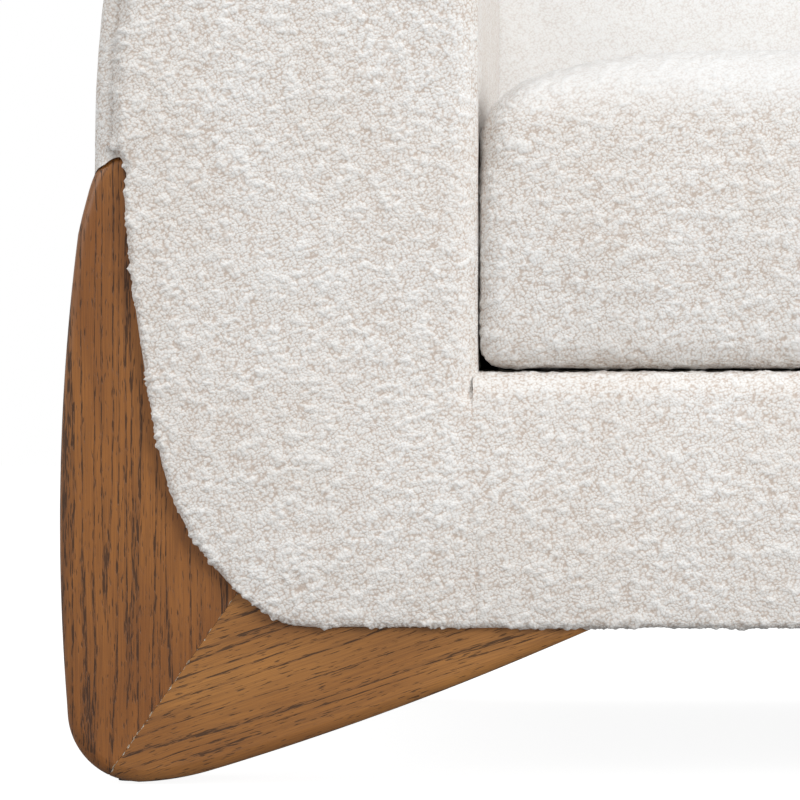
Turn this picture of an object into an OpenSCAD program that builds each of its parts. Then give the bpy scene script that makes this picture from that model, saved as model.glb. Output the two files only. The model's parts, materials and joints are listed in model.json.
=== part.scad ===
// Two-seat upholstered sofa on four mitred corner legs.
// Millimetres, +Z up, X runs along the sofa, the front faces -Y.
// The origin is on the floor, at the middle of the sofa's footprint.

/* [Overall] */
// Width over the legs
overall_w = 2200; // [1900:20:2500]
// Depth over the front and back covers
overall_d = 920; // [880:10:980]
// Height of the back
back_h = 780; // [740:10:840]
// Height of the arms
arm_h = 620; // [580:10:660]
// Width of one arm at its widest
arm_w = 242; // [236:2:270]
// How far each leg stands proud of its arm's side
leg_proud = 23; // [18:1:30]

/* [Seat] */
// Height of the upholstered rail's lower edge above the floor
rail_bottom = 100; // [100:1:106]
// Height of the front rail's rounded top edge
rail_top = 256; // [250:1:258]
// Height of the deck that the loose cushions lie on
deck_h = 262; // [260:1:266]
// Height of the loose cushions' top
seat_h = 462; // [440:2:480]
// Number of seat springs across the seat
spring_count = 10; // [8:1:12]

/* [Back] */
// Distance from the middle of the depth to the foot of the back's face
back_foot = 200; // [180:5:220]
// Rise of the back's face towards its top, in degrees from upright
back_lean = 10.5; // [6:0.5:12]

/* [Legs] */
// Depth of a leg from its front face to its back face
leg_depth = 90; // [80:2:100]
// How far a leg's face sits behind the face of the padded panel
leg_setback = 12; // [8:1:14]
// Angle of the mitre between a leg's post and its runner
mitre_angle = 50.5; // [48:0.5:53]
// Radius of a bolt's shank
bolt_r = 4; // [3:0.5:4]

/* [Cover] */
// Thickness of the covers, lining included
cover_t = 2.5; // [2:0.5:3]
// Width of the leg's edge that the padded panel hides
tuck = 6; // [4:1:7]

/* [Hidden] */
$fn = 96;
half_w = overall_w / 2;
half_d = overall_d / 2;
arm_in = leg_proud + arm_w;
seat_x = half_w - arm_in;
leg_front = -half_d + leg_setback;
leg_rear = leg_front + leg_depth;
bolt_y = leg_rear - 27;

// Leg outline, measured from the leg's outermost point and the floor
foot_clear = 1.5;
side_c = [1457, 165];
side_r = 1457;
corner_r = 38;
corner_c = [43.6, foot_clear + corner_r];
foot_r = 182;
foot_c = [43.6, foot_clear + foot_r];
foot_end = 16.9;
under_r = 2000;
under_end = 24.2;
under_c = foot_c - (under_r - foot_r) * [sin(foot_end), -cos(foot_end)];
dome_c = [38.7, 374.5];
dome_r = 24;
side_from = 171.7;
side_to = 185.1;
mitre_foot = [27.4, 8.5];
mitre_mid = [72, 62.6];

// Edge of the padded panel over the leg
panel_side_c = [1341, 466];
panel_side_r = 1305;
panel_corner_c = [186, 218];
panel_corner_r = 124;
panel_join_z = 200;

// Wooden frame
board_t = 30;
ply_t = 18;
front_pad = 27.5;
core_front = -half_d + cover_t + front_pad;
core_rear = half_d - 10;
side_pad = 25;
inner_pad = 12;
top_pad = 30;
core_x0 = leg_proud + cover_t + side_pad;
core_x1 = arm_in - cover_t - inner_pad;
core_z0 = rail_bottom + cover_t;
core_z1 = arm_h - cover_t - top_pad;
rail_h = 238;
side_rail_x = core_x1 - board_t;
block_t = 45;
block_top = 360;
rail_rear = core_front + board_t;
rail_face = rail_rear + cover_t;
back_rail_y = core_rear - board_t;
cross_x = 280;
screw_heights = [140, 200];
screw_l = 70;
screw_r = 2.5;
corner_leg = 70;
corner_z = 130;
corner_h = 60;

// Leg fixings
post_bolt_z = 262;
runner_bolt_x = 190;
insert_r = 6;
insert_l = 25;
washer_r = 12;
washer_t = 2;
head_r = 6.5;
head_h = 8;
dowel_r = 5;
dowel_l = 50;
glide_r = 10;
glide_h = 5;
post_insert_x = 31;
post_face_x = 100;
runner_insert_z = rail_bottom - insert_l - 1;
block_face_z = core_z0 + block_t;

// Back
post_y = back_rail_y - 37;
post_x = seat_x - 5;
post_top = back_h - 70;
back_top_r = 70;
back_rear_r = 30;
strap_h = 60;
strap_t = 2.5;
lumbar_z = 330;
lumbar_h = 40;

// Seat suspension and cushions
spring_z = 228;
wire = 3.8;
spring_pitch = 45;
spring_half = 25;
clip_w = 18;
clip_t = 2;
deck_pad_z = 236;
fit_gap = 0.8;
cushion_front = -half_d + 4;
cushion_rear = back_foot - 2;
cushion_bottom = deck_h + 0.5;
cushion_r = 38;
zip_z = 365;
zip_end = 40;
tape_h = 24;
tape_t = 0.8;
teeth_h = 6;
teeth_t = 1.4;
slider_l = 14;

SIDES = ["left", "right"];
ENDS = ["front", "rear"];

// Points along an arc
function arc(c, r, a0, a1, n = 12) =
    [for (i = [0 : n]) c + r * [cos(a0 + (a1 - a0) * i / n), sin(a0 + (a1 - a0) * i / n)]];

// Rectangle from lo to hi with radii at lower left, lower right, upper right, upper left
function rounded(lo, hi, r) = concat(
    arc(lo + [r[0], r[0]], r[0], 180, 270),
    arc([hi[0] - r[1], lo[1] + r[1]], r[1], 270, 360),
    arc(hi - [r[2], r[2]], r[2], 0, 90),
    arc([lo[0] + r[3], hi[1] - r[3]], r[3], 90, 180));

// Box between two corners
module box(lo, hi) {
    translate(lo)
        cube(hi - lo);
}

// Front-view outline (x, z) run from y0 to y1
module along_y(y0, y1) {
    translate([0, y1, 0])
        rotate([90, 0, 0])
            linear_extrude(y1 - y0)
                children();
}

// Side-view outline (y, z) run from x0 to x1
module along_x(x0, x1) {
    translate([x0, 0, 0])
        rotate([90, 0, 90])
            linear_extrude(x1 - x0)
                children();
}

// Something made for the left side, put on either side
module on_side(side) {
    if (side == "left") {
        children();
    } else {
        mirror([1, 0, 0])
            children();
    }
}

// Something made for the front left corner, put on any corner
module on_corner(end, side) {
    on_side(side)
        if (end == "front") {
            children();
        } else {
            mirror([0, 1, 0])
                children();
        }
}

module each_corner() {
    for (end = ENDS)
        for (side = SIDES)
            on_corner(end, side)
                children();
}

// Moves what is measured from the left leg's outermost point into place
module from_leg() {
    translate([-half_w, 0, 0])
        children();
}

// Round bar along X, measured from the left leg's outermost point
module bar_x(x0, x1, r, z) {
    from_leg()
        translate([x0, bolt_y, z])
            rotate([0, 90, 0])
                cylinder(h = x1 - x0, r = r);
}

// Round bar along Z, measured from the left leg's outermost point
module bar_z(z0, z1, r, x, y = bolt_y) {
    from_leg()
        translate([x, y, z0])
            cylinder(h = z1 - z0, r = r);
}

// ---- Legs ----

// Upholstered form's side of the line where leg and upholstery meet, moved inwards by inset
module inside_contour(inset) {
    low = rail_bottom + max(0, inset - tuck);
    intersection() {
        translate(panel_side_c)
            circle(r = panel_side_r - inset, $fn = 720);
        union() {
            intersection() {
                translate(panel_corner_c)
                    circle(r = panel_corner_r - inset, $fn = 180);
                translate([0, low])
                    square(panel_join_z);
            }
            translate([0, panel_join_z])
                square([arm_in, arm_h]);
            translate([panel_corner_c[0], low])
                square([half_w, arm_h]);
        }
    }
}

// Leg's outer shape before the upholstery's line is cut out of it, with the tip grown by t
module leg_blank(t = 0) {
    polygon(concat(
        arc(dome_c, dome_r + t, 0, 172, 16),
        arc(side_c, side_r, side_from, side_to, 24),
        arc(corner_c, corner_r, side_to, 270, 16),
        arc(foot_c, foot_r, 270, 270 + foot_end, 8),
        arc(under_c, under_r, 270 + foot_end, 270 + under_end, 10)));
}

module leg_outline() {
    difference() {
        leg_blank();
        inside_contour(tuck);
    }
}

// Everything on the post's side of the mitre
module post_side() {
    translate(mitre_foot)
        rotate(mitre_angle)
            translate([-board_t * 4, 0])
                square(half_w);
}

module leg_dowel_pair() {
    for (y = [leg_front + leg_depth / 4, leg_rear - leg_depth / 4])
        from_leg()
            translate([mitre_mid[0], y, mitre_mid[1]])
                rotate([0, -mitre_angle, 0])
                    translate([0, 0, -dowel_l / 2])
                        cylinder(h = dowel_l, r = dowel_r);
}

module leg_post(end, side) {
    color("sienna")
        on_corner(end, side)
            difference() {
                from_leg()
                    along_y(leg_front, leg_rear)
                        intersection() {
                            leg_outline();
                            post_side();
                        }
                leg_dowel_pair();
                bar_x(post_insert_x, post_face_x, insert_r, post_bolt_z);
            }
}

module leg_runner(end, side) {
    color("sienna")
        on_corner(end, side)
            difference() {
                from_leg()
                    along_y(leg_front, leg_rear)
                        difference() {
                            leg_outline();
                            post_side();
                        }
                leg_dowel_pair();
                bar_z(runner_insert_z, rail_bottom + 1, insert_r, runner_bolt_x);
                bar_z(-1, glide_h, glide_r, foot_c[0], (leg_front + leg_rear) / 2);
            }
}

module leg_dowels() {
    color("burlywood")
        each_corner()
            leg_dowel_pair();
}

// Bolts run through the corner block into the leg's inserts
module leg_bolts() {
    color("silver")
        each_corner() {
            bar_x(post_insert_x + 2, post_face_x + washer_t, bolt_r, post_bolt_z);
            bar_x(post_face_x + washer_t, post_face_x + washer_t + head_h, head_r, post_bolt_z);
            bar_z(runner_insert_z + 2, block_face_z + washer_t, bolt_r, runner_bolt_x);
            bar_z(block_face_z + washer_t, block_face_z + washer_t + head_h, head_r, runner_bolt_x);
        }
}

module leg_washers() {
    color("gray")
        each_corner() {
            difference() {
                bar_x(post_face_x, post_face_x + washer_t, washer_r, post_bolt_z);
                bar_x(post_face_x - 1, post_face_x + washer_t + 1, bolt_r, post_bolt_z);
            }
            difference() {
                bar_z(block_face_z, block_face_z + washer_t, washer_r, runner_bolt_x);
                bar_z(block_face_z - 1, block_face_z + washer_t + 1, bolt_r, runner_bolt_x);
            }
        }
}

module leg_inserts() {
    color("goldenrod")
        each_corner() {
            difference() {
                bar_x(post_insert_x, post_insert_x + insert_l, insert_r, post_bolt_z);
                bar_x(post_insert_x + 2, post_face_x, bolt_r, post_bolt_z);
            }
            difference() {
                bar_z(runner_insert_z, runner_insert_z + insert_l, insert_r, runner_bolt_x);
                bar_z(runner_insert_z + 2, rail_h, bolt_r, runner_bolt_x);
            }
        }
}

module floor_glides() {
    color("dimgray")
        each_corner()
            bar_z(0, glide_h, glide_r, foot_c[0], (leg_front + leg_rear) / 2);
}

// Clearance for both bolts through the corner block and the cover
module bolt_passages() {
    bar_x(insert_l, post_face_x + 1, bolt_r + 0.5, post_bolt_z);
    bar_x(post_face_x, side_rail_x, washer_r + 1, post_bolt_z);
    bar_z(rail_bottom - 1, block_face_z + 1, bolt_r + 0.5, runner_bolt_x);
    bar_z(block_face_z, rail_h, washer_r + 1, runner_bolt_x);
}

module leg_block(y0, y1) {
    difference() {
        from_leg()
            along_y(y0, y1)
                difference() {
                    intersection() {
                        inside_contour(tuck + cover_t);
                        square([side_rail_x, block_top]);
                    }
                    inside_contour(tuck + cover_t + block_t);
                }
        bolt_passages();
    }
}

module leg_blocks() {
    color("burlywood")
        for (side = SIDES) {
            on_corner("front", side)
                leg_block(core_front + ply_t, leg_rear);
            on_corner("rear", side)
                leg_block(-core_rear + ply_t, leg_rear);
        }
}

// ---- Seat frame ----

// Board from side rail to side rail, drilled for the screws in its ends
module cross_board(y0, y1) {
    difference() {
        box([-half_w + core_x1, y0, core_z0], [half_w - core_x1, y1, rail_h]);
        for (side = SIDES)
            on_side(side)
                frame_screw_set();
    }
}

module front_rail() {
    color("burlywood")
        cross_board(core_front, rail_rear);
}

module back_rail() {
    color("burlywood")
        cross_board(back_rail_y, core_rear);
}

// Screws along X through the side rail into the ends of the front and back rails
module frame_screw_set() {
    for (y = [core_front + board_t / 2, core_rear - board_t / 2])
        for (z = screw_heights)
            from_leg()
                translate([side_rail_x + 3, y, z])
                    rotate([0, 90, 0])
                        cylinder(h = screw_l, r = screw_r);
}

module frame_screws() {
    color("silver")
        for (side = SIDES)
            on_side(side)
                frame_screw_set();
}

module side_rail(side) {
    color("burlywood")
        on_side(side)
            difference() {
                from_leg()
                    box([side_rail_x, core_front, core_z0], [core_x1, core_rear, rail_h]);
                frame_screw_set();
            }
}

module cross_rails() {
    color("burlywood")
        for (x = [-cross_x, cross_x])
            box([x - board_t / 2, rail_face, core_z0], [x + board_t / 2, back_rail_y, 200]);
}

module corner_blocks() {
    color("burlywood")
        for (side = SIDES)
            on_side(side) {
                translate([-half_w + arm_in, rail_face, corner_z])
                    linear_extrude(corner_h)
                        polygon([[0, 0], [corner_leg, 0], [0, corner_leg]]);
                translate([-post_x + board_t, back_rail_y, corner_z])
                    linear_extrude(corner_h)
                        polygon([[0, 0], [0, -corner_leg], [corner_leg, 0]]);
            }
}

// ---- Arm frames ----

// Arm's front-view outline, shrunk by t, from the leg's outermost point
module arm_outline(t) {
    polygon(rounded([leg_proud + t, rail_bottom + t], [arm_in - t, arm_h - t],
        [95 - t, 3, 70 - t, 95 - t]));
}

// Outline of the arm's end boards
module board_outline() {
    intersection() {
        polygon(rounded([core_x0, core_z0], [core_x1, core_z1], [60, 2, 50, 70]));
        inside_contour(tuck + cover_t);
        difference() {
            square([core_x1, core_z1]);
            translate([side_rail_x, 0])
                square([board_t, rail_h]);
        }
    }
}

module arm_front_board(side) {
    color("wheat")
        on_side(side)
            from_leg()
                along_y(core_front, core_front + ply_t)
                    board_outline();
}

module arm_rear_board(side) {
    color("wheat")
        on_side(side)
            from_leg()
                along_y(core_rear - ply_t, core_rear)
                    board_outline();
}

module arm_top_rail(side) {
    color("burlywood")
        on_side(side)
            from_leg()
                box([core_x0 + 72, core_front + ply_t, core_z1 - 22],
                    [core_x1 - 52, core_rear - ply_t, core_z1]);
}

module arm_outer_rail(side) {
    color("burlywood")
        on_side(side)
            from_leg()
                box([core_x0 + 15, leg_rear + cover_t, 210],
                    [core_x0 + 15 + board_t, -leg_rear - cover_t, 290]);
}

// ---- Back frame ----

module back_post(x) {
    color("burlywood")
        along_x(x, x + board_t)
            polygon([[post_y, core_z0], [back_rail_y, core_z0], [back_rail_y, rail_h],
                [core_rear, rail_h], [core_rear, post_top], [post_y, post_top]]);
}

module back_top_rail() {
    color("burlywood")
        box([-post_x, post_y, post_top], [post_x, core_rear, post_top + board_t]);
}

module lumbar_rails() {
    color("burlywood")
        for (side = SIDES)
            on_side(side)
                box([-post_x + board_t, back_rail_y, lumbar_z],
                    [-board_t / 2, core_rear, lumbar_z + lumbar_h]);
}

// ---- Suspension ----

// Half ring that joins two neighbouring bars of a spring, bulging towards +X
module spring_bend() {
    intersection() {
        difference() {
            circle(r = spring_pitch / 2 + wire / 2);
            circle(r = spring_pitch / 2 - wire / 2);
        }
        translate([0, -spring_pitch])
            square(2 * spring_pitch);
    }
}

// Serpentine seat spring in plan, from y0 towards +Y
module spring_plan(y0, bars) {
    straight = spring_half - spring_pitch / 2;
    for (i = [0 : bars - 1])
        translate([-straight - wire / 2, y0 + i * spring_pitch - wire / 2])
            square([2 * straight + wire, wire]);
    for (i = [0 : bars - 2])
        translate([(i % 2 == 0 ? straight : -straight), y0 + (i + 0.5) * spring_pitch])
            mirror([i % 2, 0])
                spring_bend();
}

spring_bars = floor((back_rail_y - rail_face - 10) / spring_pitch) + 1;
spring_y0 = (back_rail_y + rail_face - (spring_bars - 1) * spring_pitch) / 2;
spring_gap = 2 * (seat_x - 60) / spring_count;

function spring_x(i) = (i - (spring_count - 1) / 2) * spring_gap;

module seat_springs() {
    color("darkslategray")
        for (i = [0 : spring_count - 1])
            translate([spring_x(i), 0, spring_z])
                linear_extrude(wire)
                    spring_plan(spring_y0, spring_bars);
}

// C-shaped clip that holds a spring's end bar against a rail's inner face
module spring_clip(reach) {
    low = spring_z - 4;
    high = spring_z + wire + 4;
    along_x(-clip_w / 2, clip_w / 2)
        polygon([[0, low - 8], [clip_t, low - 8], [clip_t, low - clip_t], [reach, low - clip_t],
            [reach, low], [clip_t, low], [clip_t, high - clip_t], [reach, high - clip_t],
            [reach, high], [0, high]]);
}

module spring_clips() {
    reach = spring_y0 - rail_face + 6;
    color("silver")
        for (i = [0 : spring_count - 1])
            translate([spring_x(i), 0, 0]) {
                translate([0, rail_face, 0])
                    spring_clip(reach);
                translate([0, back_rail_y, 0])
                    mirror([0, 1, 0])
                        spring_clip(reach);
            }
}

module back_webbing() {
    color("tan")
        for (z = [300 : 80 : post_top - strap_h])
            box([-post_x, post_y - strap_t, z], [post_x, post_y, z + strap_h]);
}

// ---- Seat upholstery ----

module deck_pad() {
    color("gainsboro")
        box([-seat_x + fit_gap, rail_face, deck_pad_z],
            [seat_x - fit_gap, post_y - strap_t, deck_h - cover_t]);
}

module deck_cloth() {
    color("beige")
        box([-seat_x + fit_gap, rail_face, deck_h - cover_t],
            [seat_x - fit_gap, post_y - strap_t, deck_h]);
}

// Front rail's side-view outline, shrunk by t
module rail_outline(t) {
    polygon(rounded([-half_d + t, rail_bottom + t], [rail_face - t, rail_top - t],
        [16 - t, 4 - t, 8 - t, 30 - t]));
}

// Front rail's own section
module rail_section() {
    translate([core_front, core_z0])
        square([board_t, rail_h - core_z0]);
}

module front_rail_pad() {
    color("gainsboro")
        along_x(-seat_x, seat_x)
            difference() {
                rail_outline(cover_t);
                rail_section();
            }
}

module front_rail_cover() {
    color("linen")
        along_x(-seat_x, seat_x)
            difference() {
                rail_outline(0);
                rail_outline(cover_t);
                rail_section();
            }
}

module dust_cover() {
    color("dimgray")
        box([-seat_x, rail_face, rail_bottom + 1], [seat_x, core_rear, core_z0]);
}

// ---- Arm upholstery ----

// Rounded block that the arm's upholstery fills, shrunk by t
module arm_form(t) {
    intersection() {
        from_leg()
            along_y(-half_d + t, half_d - t)
                arm_outline(t);
        along_x(-half_w, -seat_x)
            polygon(rounded([-half_d + t, rail_bottom + t], [half_d - t, arm_h - t],
                [8 - t, 8 - t, 55 - t, 55 - t]));
        from_leg()
            linear_extrude(arm_h)
                polygon(rounded([leg_proud + t, -half_d + t], [arm_in - t, half_d - t],
                    [30 - t, 20 - t, 20 - t, 30 - t]));
    }
}

// Space that a front leg takes out of the arm, with a skin of t left round it
module leg_recess(t, y0) {
    from_leg()
        along_y(y0, leg_rear + t)
            difference() {
                leg_blank(t);
                inside_contour(tuck + t);
            }
}

// Room for the side rail, and for the front and back rails where they pass the arm's inner side
module frame_passages() {
    from_leg()
        box([side_rail_x, core_front, core_z0], [core_x1, core_rear, rail_h]);
    box([-half_w + core_x1, core_front, core_z0], [-seat_x, rail_rear, rail_h]);
    box([-half_w + core_x1, back_rail_y, core_z0], [-seat_x, core_rear, rail_h]);
}

// Arm without its front panel, shrunk by t
module arm_body(t) {
    difference() {
        intersection() {
            arm_form(t);
            union() {
                box([-half_w, leg_front + t, 0], [-seat_x, -leg_front, arm_h]);
                from_leg()
                    along_y(-leg_front, half_d)
                        inside_contour(t);
            }
        }
        leg_recess(t, leg_front - 1);
        mirror([0, 1, 0])
            leg_recess(t, leg_front - t);
    }
}

// Room for the wooden frame inside the arm's padding
module arm_core() {
    from_leg()
        along_y(core_front, core_rear)
            polygon(rounded([core_x0, core_z0], [core_x1, core_z1], [60, 2, 50, 70]));
}

module arm_pad(side) {
    color("gainsboro")
        on_side(side)
            difference() {
                arm_body(cover_t);
                arm_core();
                leg_block_space(core_front);
                mirror([0, 1, 0])
                    leg_block_space(-core_rear);
                frame_passages();
            }
}

// Full length of a corner block, so that no padding is left between it and the leg
module leg_block_space(y0) {
    from_leg()
        along_y(y0, leg_rear)
            difference() {
                intersection() {
                    inside_contour(tuck + cover_t);
                    square([side_rail_x, block_top]);
                }
                inside_contour(tuck + cover_t + block_t);
            }
}

module arm_cover(side) {
    color("linen")
        on_side(side)
            difference() {
                arm_body(0);
                arm_body(cover_t);
                for (end = ENDS)
                    on_corner(end, "left")
                        bolt_passages();
                frame_passages();
            }
}

module arm_front_panel(side) {
    color("linen")
        on_side(side)
            intersection() {
                arm_form(0);
                from_leg()
                    along_y(-half_d, leg_front)
                        inside_contour(0);
            }
}

// ---- Back upholstery ----

// Back's side-view outline, shrunk by t
module back_outline(t) {
    low = deck_h + 0.5 + t;
    top_r = back_top_r - t;
    top_z = back_h - back_top_r;
    foot_y = back_foot + t / cos(back_lean);
    face_rise = top_z + top_r * sin(back_lean) - deck_h - 0.5;
    top_y = foot_y + face_rise * tan(back_lean) + top_r * cos(back_lean);
    rear_r = back_rear_r - t;
    polygon(concat(
        [[foot_y + t * tan(back_lean), low], [core_rear - t, low]],
        arc([core_rear - back_rear_r, back_h - back_rear_r], rear_r, 0, 90),
        arc([top_y, top_z], top_r, 90, 180 - back_lean)));
}

module back_pad() {
    color("gainsboro")
        along_x(-seat_x + fit_gap + cover_t, seat_x - fit_gap - cover_t)
            difference() {
                back_outline(cover_t);
                translate([post_y - strap_t, 0])
                    square([half_d, post_top + board_t]);
            }
}

module back_cover() {
    color("linen")
        difference() {
            along_x(-seat_x + fit_gap, seat_x - fit_gap)
                back_outline(0);
            along_x(-seat_x + fit_gap + cover_t, seat_x - fit_gap - cover_t)
                back_outline(cover_t);
            box([-post_x, post_y, 0], [post_x, core_rear + 1, post_top + board_t]);
        }
}

module outer_back_panel() {
    color("linen")
        along_y(core_rear, half_d)
            polygon(rounded([-seat_x, rail_bottom], [seat_x, back_h - back_rear_r],
                [4, 4, 30, 30]));
}

// ---- Loose cushions ----

// Left cushion's outer form, shrunk by t
module cushion_form(t) {
    lo = [-seat_x + fit_gap + t, cushion_front + t, cushion_bottom + t];
    hi = [-fit_gap - t, cushion_rear - t, seat_h - t];
    r = cushion_r - t;
    foot_r = 14 - t;
    intersection() {
        along_y(lo[1], hi[1])
            polygon(rounded([lo[0], lo[2]], [hi[0], hi[2]], [foot_r, foot_r, r, r]));
        along_x(lo[0], hi[0])
            polygon(rounded([lo[1], lo[2]], [hi[1], hi[2]], [foot_r, foot_r, r, r]));
        translate([0, 0, lo[2]])
            linear_extrude(hi[2] - lo[2])
                polygon(rounded([lo[0], lo[1]], [hi[0], hi[1]], [26 - t, 26 - t, 26 - t, 26 - t]));
    }
}

module cushion_core(side) {
    color("gainsboro")
        on_side(side)
            cushion_form(cover_t);
}

module cushion_cover(side) {
    color("linen")
        on_side(side)
            difference() {
                cushion_form(0);
                cushion_form(cover_t);
            }
}

// Zip tape with its teeth on the cushion's rear side
module cushion_zip(side) {
    x0 = -seat_x + zip_end;
    x1 = -zip_end;
    color("ivory")
        on_side(side) {
            box([x0, cushion_rear, zip_z - tape_h / 2],
                [x1, cushion_rear + tape_t, zip_z + tape_h / 2]);
            box([x0 + 4, cushion_rear + tape_t, zip_z - teeth_h / 2],
                [x1 - 4, cushion_rear + tape_t + teeth_t, zip_z + teeth_h / 2]);
        }
}

// Slider that straddles the teeth, with its pull tab hanging from the bridge
module zip_slider(side) {
    y = cushion_rear + tape_t + teeth_t + 0.3;
    x = -zip_end - 10 - slider_l;
    color("silver")
        on_side(side) {
            along_y(y, y + 1.6)
                polygon(rounded([x, zip_z - 5], [x + slider_l, zip_z + 5], [3, 3, 3, 3]));
            along_x(x + slider_l / 2 - 1.5, x + slider_l / 2 + 1.5)
                polygon([[y + 1.6, zip_z - 3.5], [y + 4, zip_z - 2], [y + 4, zip_z + 2],
                    [y + 1.6, zip_z + 3.5]]);
            along_y(y + 4, y + 5.2)
                polygon(rounded([x + slider_l / 2 - 3, zip_z - 26], [x + slider_l / 2 + 3, zip_z + 2],
                    [3, 3, 1, 1]));
        }
}

leg_post("front", "left");  // leg_post_front_left
leg_post("front", "right");  // leg_post_front_right
leg_post("rear", "left");  // leg_post_rear_left
leg_post("rear", "right");  // leg_post_rear_right
leg_runner("front", "left");  // leg_runner_front_left
leg_runner("front", "right");  // leg_runner_front_right
leg_runner("rear", "left");  // leg_runner_rear_left
leg_runner("rear", "right");  // leg_runner_rear_right
leg_dowels();
leg_bolts();
leg_washers();
leg_inserts();
floor_glides();
leg_blocks();
front_rail();
back_rail();
side_rail("left");  // side_rail_left
side_rail("right");  // side_rail_right
cross_rails();
corner_blocks();
frame_screws();
arm_front_board("left");  // arm_front_board_left
arm_front_board("right");  // arm_front_board_right
arm_rear_board("left");  // arm_rear_board_left
arm_rear_board("right");  // arm_rear_board_right
arm_top_rail("left");  // arm_top_rail_left
arm_top_rail("right");  // arm_top_rail_right
arm_outer_rail("left");  // arm_outer_rail_left
arm_outer_rail("right");  // arm_outer_rail_right
back_post(-post_x);  // back_post_left
back_post(post_x - board_t);  // back_post_right
back_post(-board_t / 2);  // back_post_centre
back_top_rail();
lumbar_rails();
seat_springs();
spring_clips();
back_webbing();
deck_pad();
deck_cloth();
front_rail_pad();
front_rail_cover();
arm_pad("left");  // arm_pad_left
arm_pad("right");  // arm_pad_right
arm_cover("left");  // arm_cover_left
arm_cover("right");  // arm_cover_right
arm_front_panel("left");  // arm_front_panel_left
arm_front_panel("right");  // arm_front_panel_right
back_pad();
back_cover();
outer_back_panel();
dust_cover();
cushion_core("left");  // cushion_core_left
cushion_core("right");  // cushion_core_right
cushion_cover("left");  // cushion_cover_left
cushion_cover("right");  // cushion_cover_right
cushion_zip("left");  // cushion_zip_left
cushion_zip("right");  // cushion_zip_right
zip_slider("left");  // zip_slider_left
zip_slider("right");  // zip_slider_right
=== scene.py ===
"""Two-seat boucle sofa on mitred oak corner legs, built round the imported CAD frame. Metres, +Z up, front to -Y."""

import itertools
import json
import math

import bmesh
import bpy
import numpy as np
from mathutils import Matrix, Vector, geometry, kdtree


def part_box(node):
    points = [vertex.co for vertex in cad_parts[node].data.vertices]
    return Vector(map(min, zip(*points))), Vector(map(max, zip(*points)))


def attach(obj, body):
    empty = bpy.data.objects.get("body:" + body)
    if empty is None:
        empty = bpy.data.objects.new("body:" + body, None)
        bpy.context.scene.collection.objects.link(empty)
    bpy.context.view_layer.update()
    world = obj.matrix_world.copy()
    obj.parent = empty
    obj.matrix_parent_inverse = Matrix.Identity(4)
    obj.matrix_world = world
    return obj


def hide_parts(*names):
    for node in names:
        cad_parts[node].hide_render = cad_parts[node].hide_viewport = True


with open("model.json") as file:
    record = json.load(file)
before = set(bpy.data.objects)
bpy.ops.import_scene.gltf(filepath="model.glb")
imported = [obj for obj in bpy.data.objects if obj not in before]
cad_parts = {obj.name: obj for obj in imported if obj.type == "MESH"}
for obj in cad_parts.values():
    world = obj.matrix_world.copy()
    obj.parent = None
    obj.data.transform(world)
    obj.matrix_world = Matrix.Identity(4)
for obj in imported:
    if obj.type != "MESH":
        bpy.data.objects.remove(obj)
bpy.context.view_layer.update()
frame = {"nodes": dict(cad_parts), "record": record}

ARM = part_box("arm_cover_left")
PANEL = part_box("arm_front_panel_left")
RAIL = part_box("front_rail_cover")
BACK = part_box("back_cover")
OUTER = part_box("outer_back_panel")
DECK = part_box("deck_cloth")
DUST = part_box("dust_cover")
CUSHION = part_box("cushion_cover_left")
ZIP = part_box("cushion_zip_left")
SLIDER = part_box("zip_slider_left")
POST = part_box("leg_post_front_left")

# ---- Camera and light ----

LEFT = POST[0].x  # the left leg's outermost point; u = X - LEFT is measured from it
FRONT = RAIL[0].y
VIEW_DISTANCE = 3.0
VIEW_WIDTH = 0.5008
VIEW_CENTRE = (0.2159, 0.2428)
EYE_U = 0.336
SENSOR = 36.0


def link(obj):
    bpy.context.scene.collection.objects.link(obj)
    return obj


def aimed(name, data, spot, aim):
    """A camera or lamp at spot that looks at aim."""
    obj = link(bpy.data.objects.new(name, data))
    obj.location = spot
    obj.rotation_euler = (Vector(aim) - Vector(spot)).to_track_quat("-Z", "Y").to_euler()
    return obj


def make_camera():
    data = bpy.data.cameras.new("camera")
    data.sensor_width = SENSOR
    eye = Vector((LEFT + EYE_U, FRONT - VIEW_DISTANCE, VIEW_CENTRE[1]))
    aim = Vector((LEFT + VIEW_CENTRE[0], FRONT, VIEW_CENTRE[1]))
    data.lens = SENSOR * (aim - eye).length / VIEW_WIDTH
    data.clip_start, data.clip_end = 0.05, 50.0
    bpy.context.scene.camera = aimed("camera", data, eye, aim)


def area_light(name, spot, aim, size, power):
    data = bpy.data.lights.new(name, "AREA")
    data.shape, (data.size, data.size_y), data.energy = "RECTANGLE", size, power
    aimed(name, data, spot, aim)


# ---- Node helpers ----


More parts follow.
